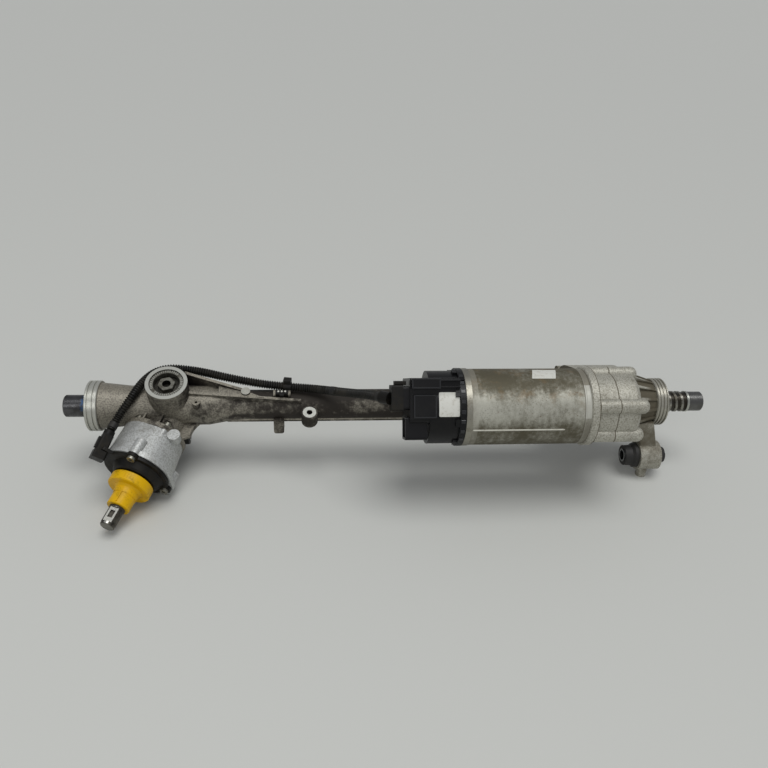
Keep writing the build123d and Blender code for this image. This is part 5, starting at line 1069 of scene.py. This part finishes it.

# %% [markdown]
# Cast parts show where their moulds met. The housing's tube has such a ridge
# along its lower front, and the motor can has a thin raised line low on its
# front. The ridge is painted paler than the skin round it, a painted highlight
# along the edge, and the line is rubbed paler. Each is a low strip that rises
# and sinks at its ends, laid along its part.

# %% Parting lines
TUBE_R = 18.05
RIDGE_TURN = math.radians(228)
RIDGE_START, RIDGE_END, RIDGE_RISE = -190, 66, 1.5
LINE_START, LINE_END, LINE_RISE = 74.0, 178.0, 0.7
LINE_ARC = math.radians(35.3) * CAN_R
ridge_out = Vector((0, math.cos(RIDGE_TURN), math.sin(RIDGE_TURN)))
ridge_side = BAR_WAY.cross(ridge_out)
ridge_rings = []
for x, rise in (
    (RIDGE_START, 0.0), (RIDGE_START + 6, RIDGE_RISE), (RIDGE_END - 6, RIDGE_RISE), (RIDGE_END, 0.0)
):
    section = ((-1.7, -0.3), (-0.7, rise), (0.7, rise), (1.7, -0.3))
    ridge_rings.append(
        [(BAR_WAY * x + ridge_out * (TUBE_R + lift) + ridge_side * slide) * MM for slide, lift in section]
    )
# The ridge's paler colour is a painted highlight along the tube's lower edge.
ridge_skin = cast_aluminium("casting_ridge_painted_highlight", "#a09b8d", "#4c463b", (0.4, 0.8), 0.8, metal=0.35)
make_piece("tube_parting_ridge", joined_rings(ridge_rings), ridge_skin)

line_rings = []
for x, rise in (
    (LINE_START, 0.05), (LINE_START + 1.5, LINE_RISE), (LINE_END - 2.5, LINE_RISE), (LINE_END, 0.05)
):
    line_rings.append([])
    for slide, lift in ((-1.1, -0.1), (-0.5, rise), (0.5, rise), (1.1, -0.1)):
        point, normal = can_side(x, LINE_ARC + slide)
        line_rings[-1].append(point + normal * lift * MM)
line_skin = moulded("rubbed_parting_line", "#c2c0b4", "#8e897a", (0.45, 0.75), 0.5, 0.8, 0.05)
make_piece("motor_parting_line", joined_rings(line_rings), line_skin)

# %% [markdown]
# The control unit's cover snaps on. It has a row of small tabs round the edge
# beside the motor, and low frames on its two front faces. Both catch the light
# as thin pale edges, which a bump can't do on a flat face, so they are bars.

# %% Snap tabs and frames
TAB_TURNS = (-52, -38, -24, -9, 6, 20, 36, 52)
TAB_X, TAB_R, TAB_SIZE = 62.2, 44.75, (4.6, 4.4, 0.9)
FRAME_BAR, FRAME_RISE = 1.5, 0.8
FRAMES = ((47.1, 5.2, 36.5, -32.6, -21.5), (42.1, 7.8, 32.8, -14.6, 10.8))
tabs = []
for turn in map(math.radians, TAB_TURNS):
    outward = FRONT * math.cos(turn) + DOWN * math.sin(turn)
    around = DOWN * math.cos(turn) - FRONT * math.sin(turn)
    centre = MOTOR_AXIS + (BAR_WAY * TAB_X + outward * TAB_R) * MM
    tabs.append(block(centre, BAR_WAY, around, outward, TAB_SIZE, 0.4))
for front, low_x, high_x, top, bottom in FRAMES:
    for down in (top + FRAME_BAR / 2, bottom - FRAME_BAR / 2):
        centre = motor_point((low_x + high_x) / 2, front, down)
        tabs.append(block(centre, BAR_WAY, DOWN, FRONT, (high_x - low_x, FRAME_BAR, FRAME_RISE), 0.35))
    for x in (low_x + FRAME_BAR / 2, high_x - FRAME_BAR / 2):
        centre = motor_point(x, front, (top + bottom) / 2)
        tabs.append(block(centre, DOWN, BAR_WAY, FRONT, (bottom - top, FRAME_BAR, FRAME_RISE), 0.35))
tab_plastic = moulded("satin_black_nylon_tab", "#17181b", "#2c2b29", (0.5, 0.8), 0.3, 0.8, 0.03)
make_piece("unit_snap_tabs", merged_solids(tabs), tab_plastic)

# %% [markdown]
# Cloth tape binds the conduit at both ends, and once more some 90 mm before
# the control unit. A band of colour on the conduit would follow its ribs. Real
# tape bridges them, so each band is a smooth sleeve over the crests.

# %% Tape bands
TAPE_R, TAPE_EDGE_R = 5.42, 4.6
last = len(walk)
bands = []
for start, end in ((3, 11), (last - 12, last - 3), (last - 92, last - 84)):
    stretch = walk[start:end]
    sleeve = [(stretch[0], TAPE_EDGE_R), *((step, TAPE_R) for step in stretch), (stretch[-1], TAPE_EDGE_R)]
    rings = []
    for (centre, way, travelled), radius in sleeve:
        side = (UP - way * way.z).normalized()
        rings.append(ring(centre * MM, side, way.cross(side), radius * MM, 24))
    bands.append(joined_rings(rings))
tape_cloth = moulded("black_harness_tape", "#100f0e", "#2b2822", (0.4, 0.75), 0.6, 0.5, 0.08)
make_piece("harness_tape", merged_solids(bands), tape_cloth)

# %% [markdown]
# The conduit's clip snaps into two cast lugs on top of the tube, in front of
# the conduit. It is a black nylon block with a latch on its front and three
# pale studs in a row on top. A plain box would look like a brick.
# The studs are small domes of rings, since a flat disc would catch no light.

# %% Conduit clip
CLIP_PLACE = Vector((-138.5, -8.6, 21.4)) * MM
CLIP_UP = Vector((0, -0.35, 0.937))
CLIP_ACROSS = CLIP_UP.cross(BAR_WAY)
CLIP_AXES = (BAR_WAY, CLIP_ACROSS, CLIP_UP)
STUD_BASE = 3.55
STUD_PROFILE = ((0, 1.25), (0.5, 1.2), (0.9, 0.8), (1.05, 0.15))
latch_place = CLIP_PLACE + (CLIP_UP * 2.2 - CLIP_ACROSS * 4) * MM
clip_solids = [
    block(CLIP_PLACE, *CLIP_AXES, (15, 6.4, 7.2), 1.0),
    block(latch_place, *CLIP_AXES, (5, 3.4, 2), 0.4),
]
make_piece("clip_body", merged_solids(clip_solids), cover_plastic)
lug_solids = [
    block(CLIP_PLACE + (BAR_WAY * side - CLIP_UP * 1.4) * MM, *CLIP_AXES, (2.6, 8.2, 7.4), 1.2)
    for side in (-8.9, 8.9)
]
make_piece("clip_lugs", merged_solids(lug_solids), housing_skin)
studs = []
for shift in (-4.1, 0, 4.1):
    rings = []
    for lift, radius in STUD_PROFILE:
        centre = CLIP_PLACE + (BAR_WAY * shift + CLIP_UP * (STUD_BASE + lift)) * MM
        rings.append(ring(centre, BAR_WAY, CLIP_ACROSS, radius * MM, 16))
    studs.append(joined_rings(rings))
stud_plastic = moulded("pale_nylon_stud", "#c9c9c0", "#98958a", (0.45, 0.75), 0.4, 0.8, 0.03)
make_piece("clip_studs", merged_solids(studs), stud_plastic)

# %% [markdown]
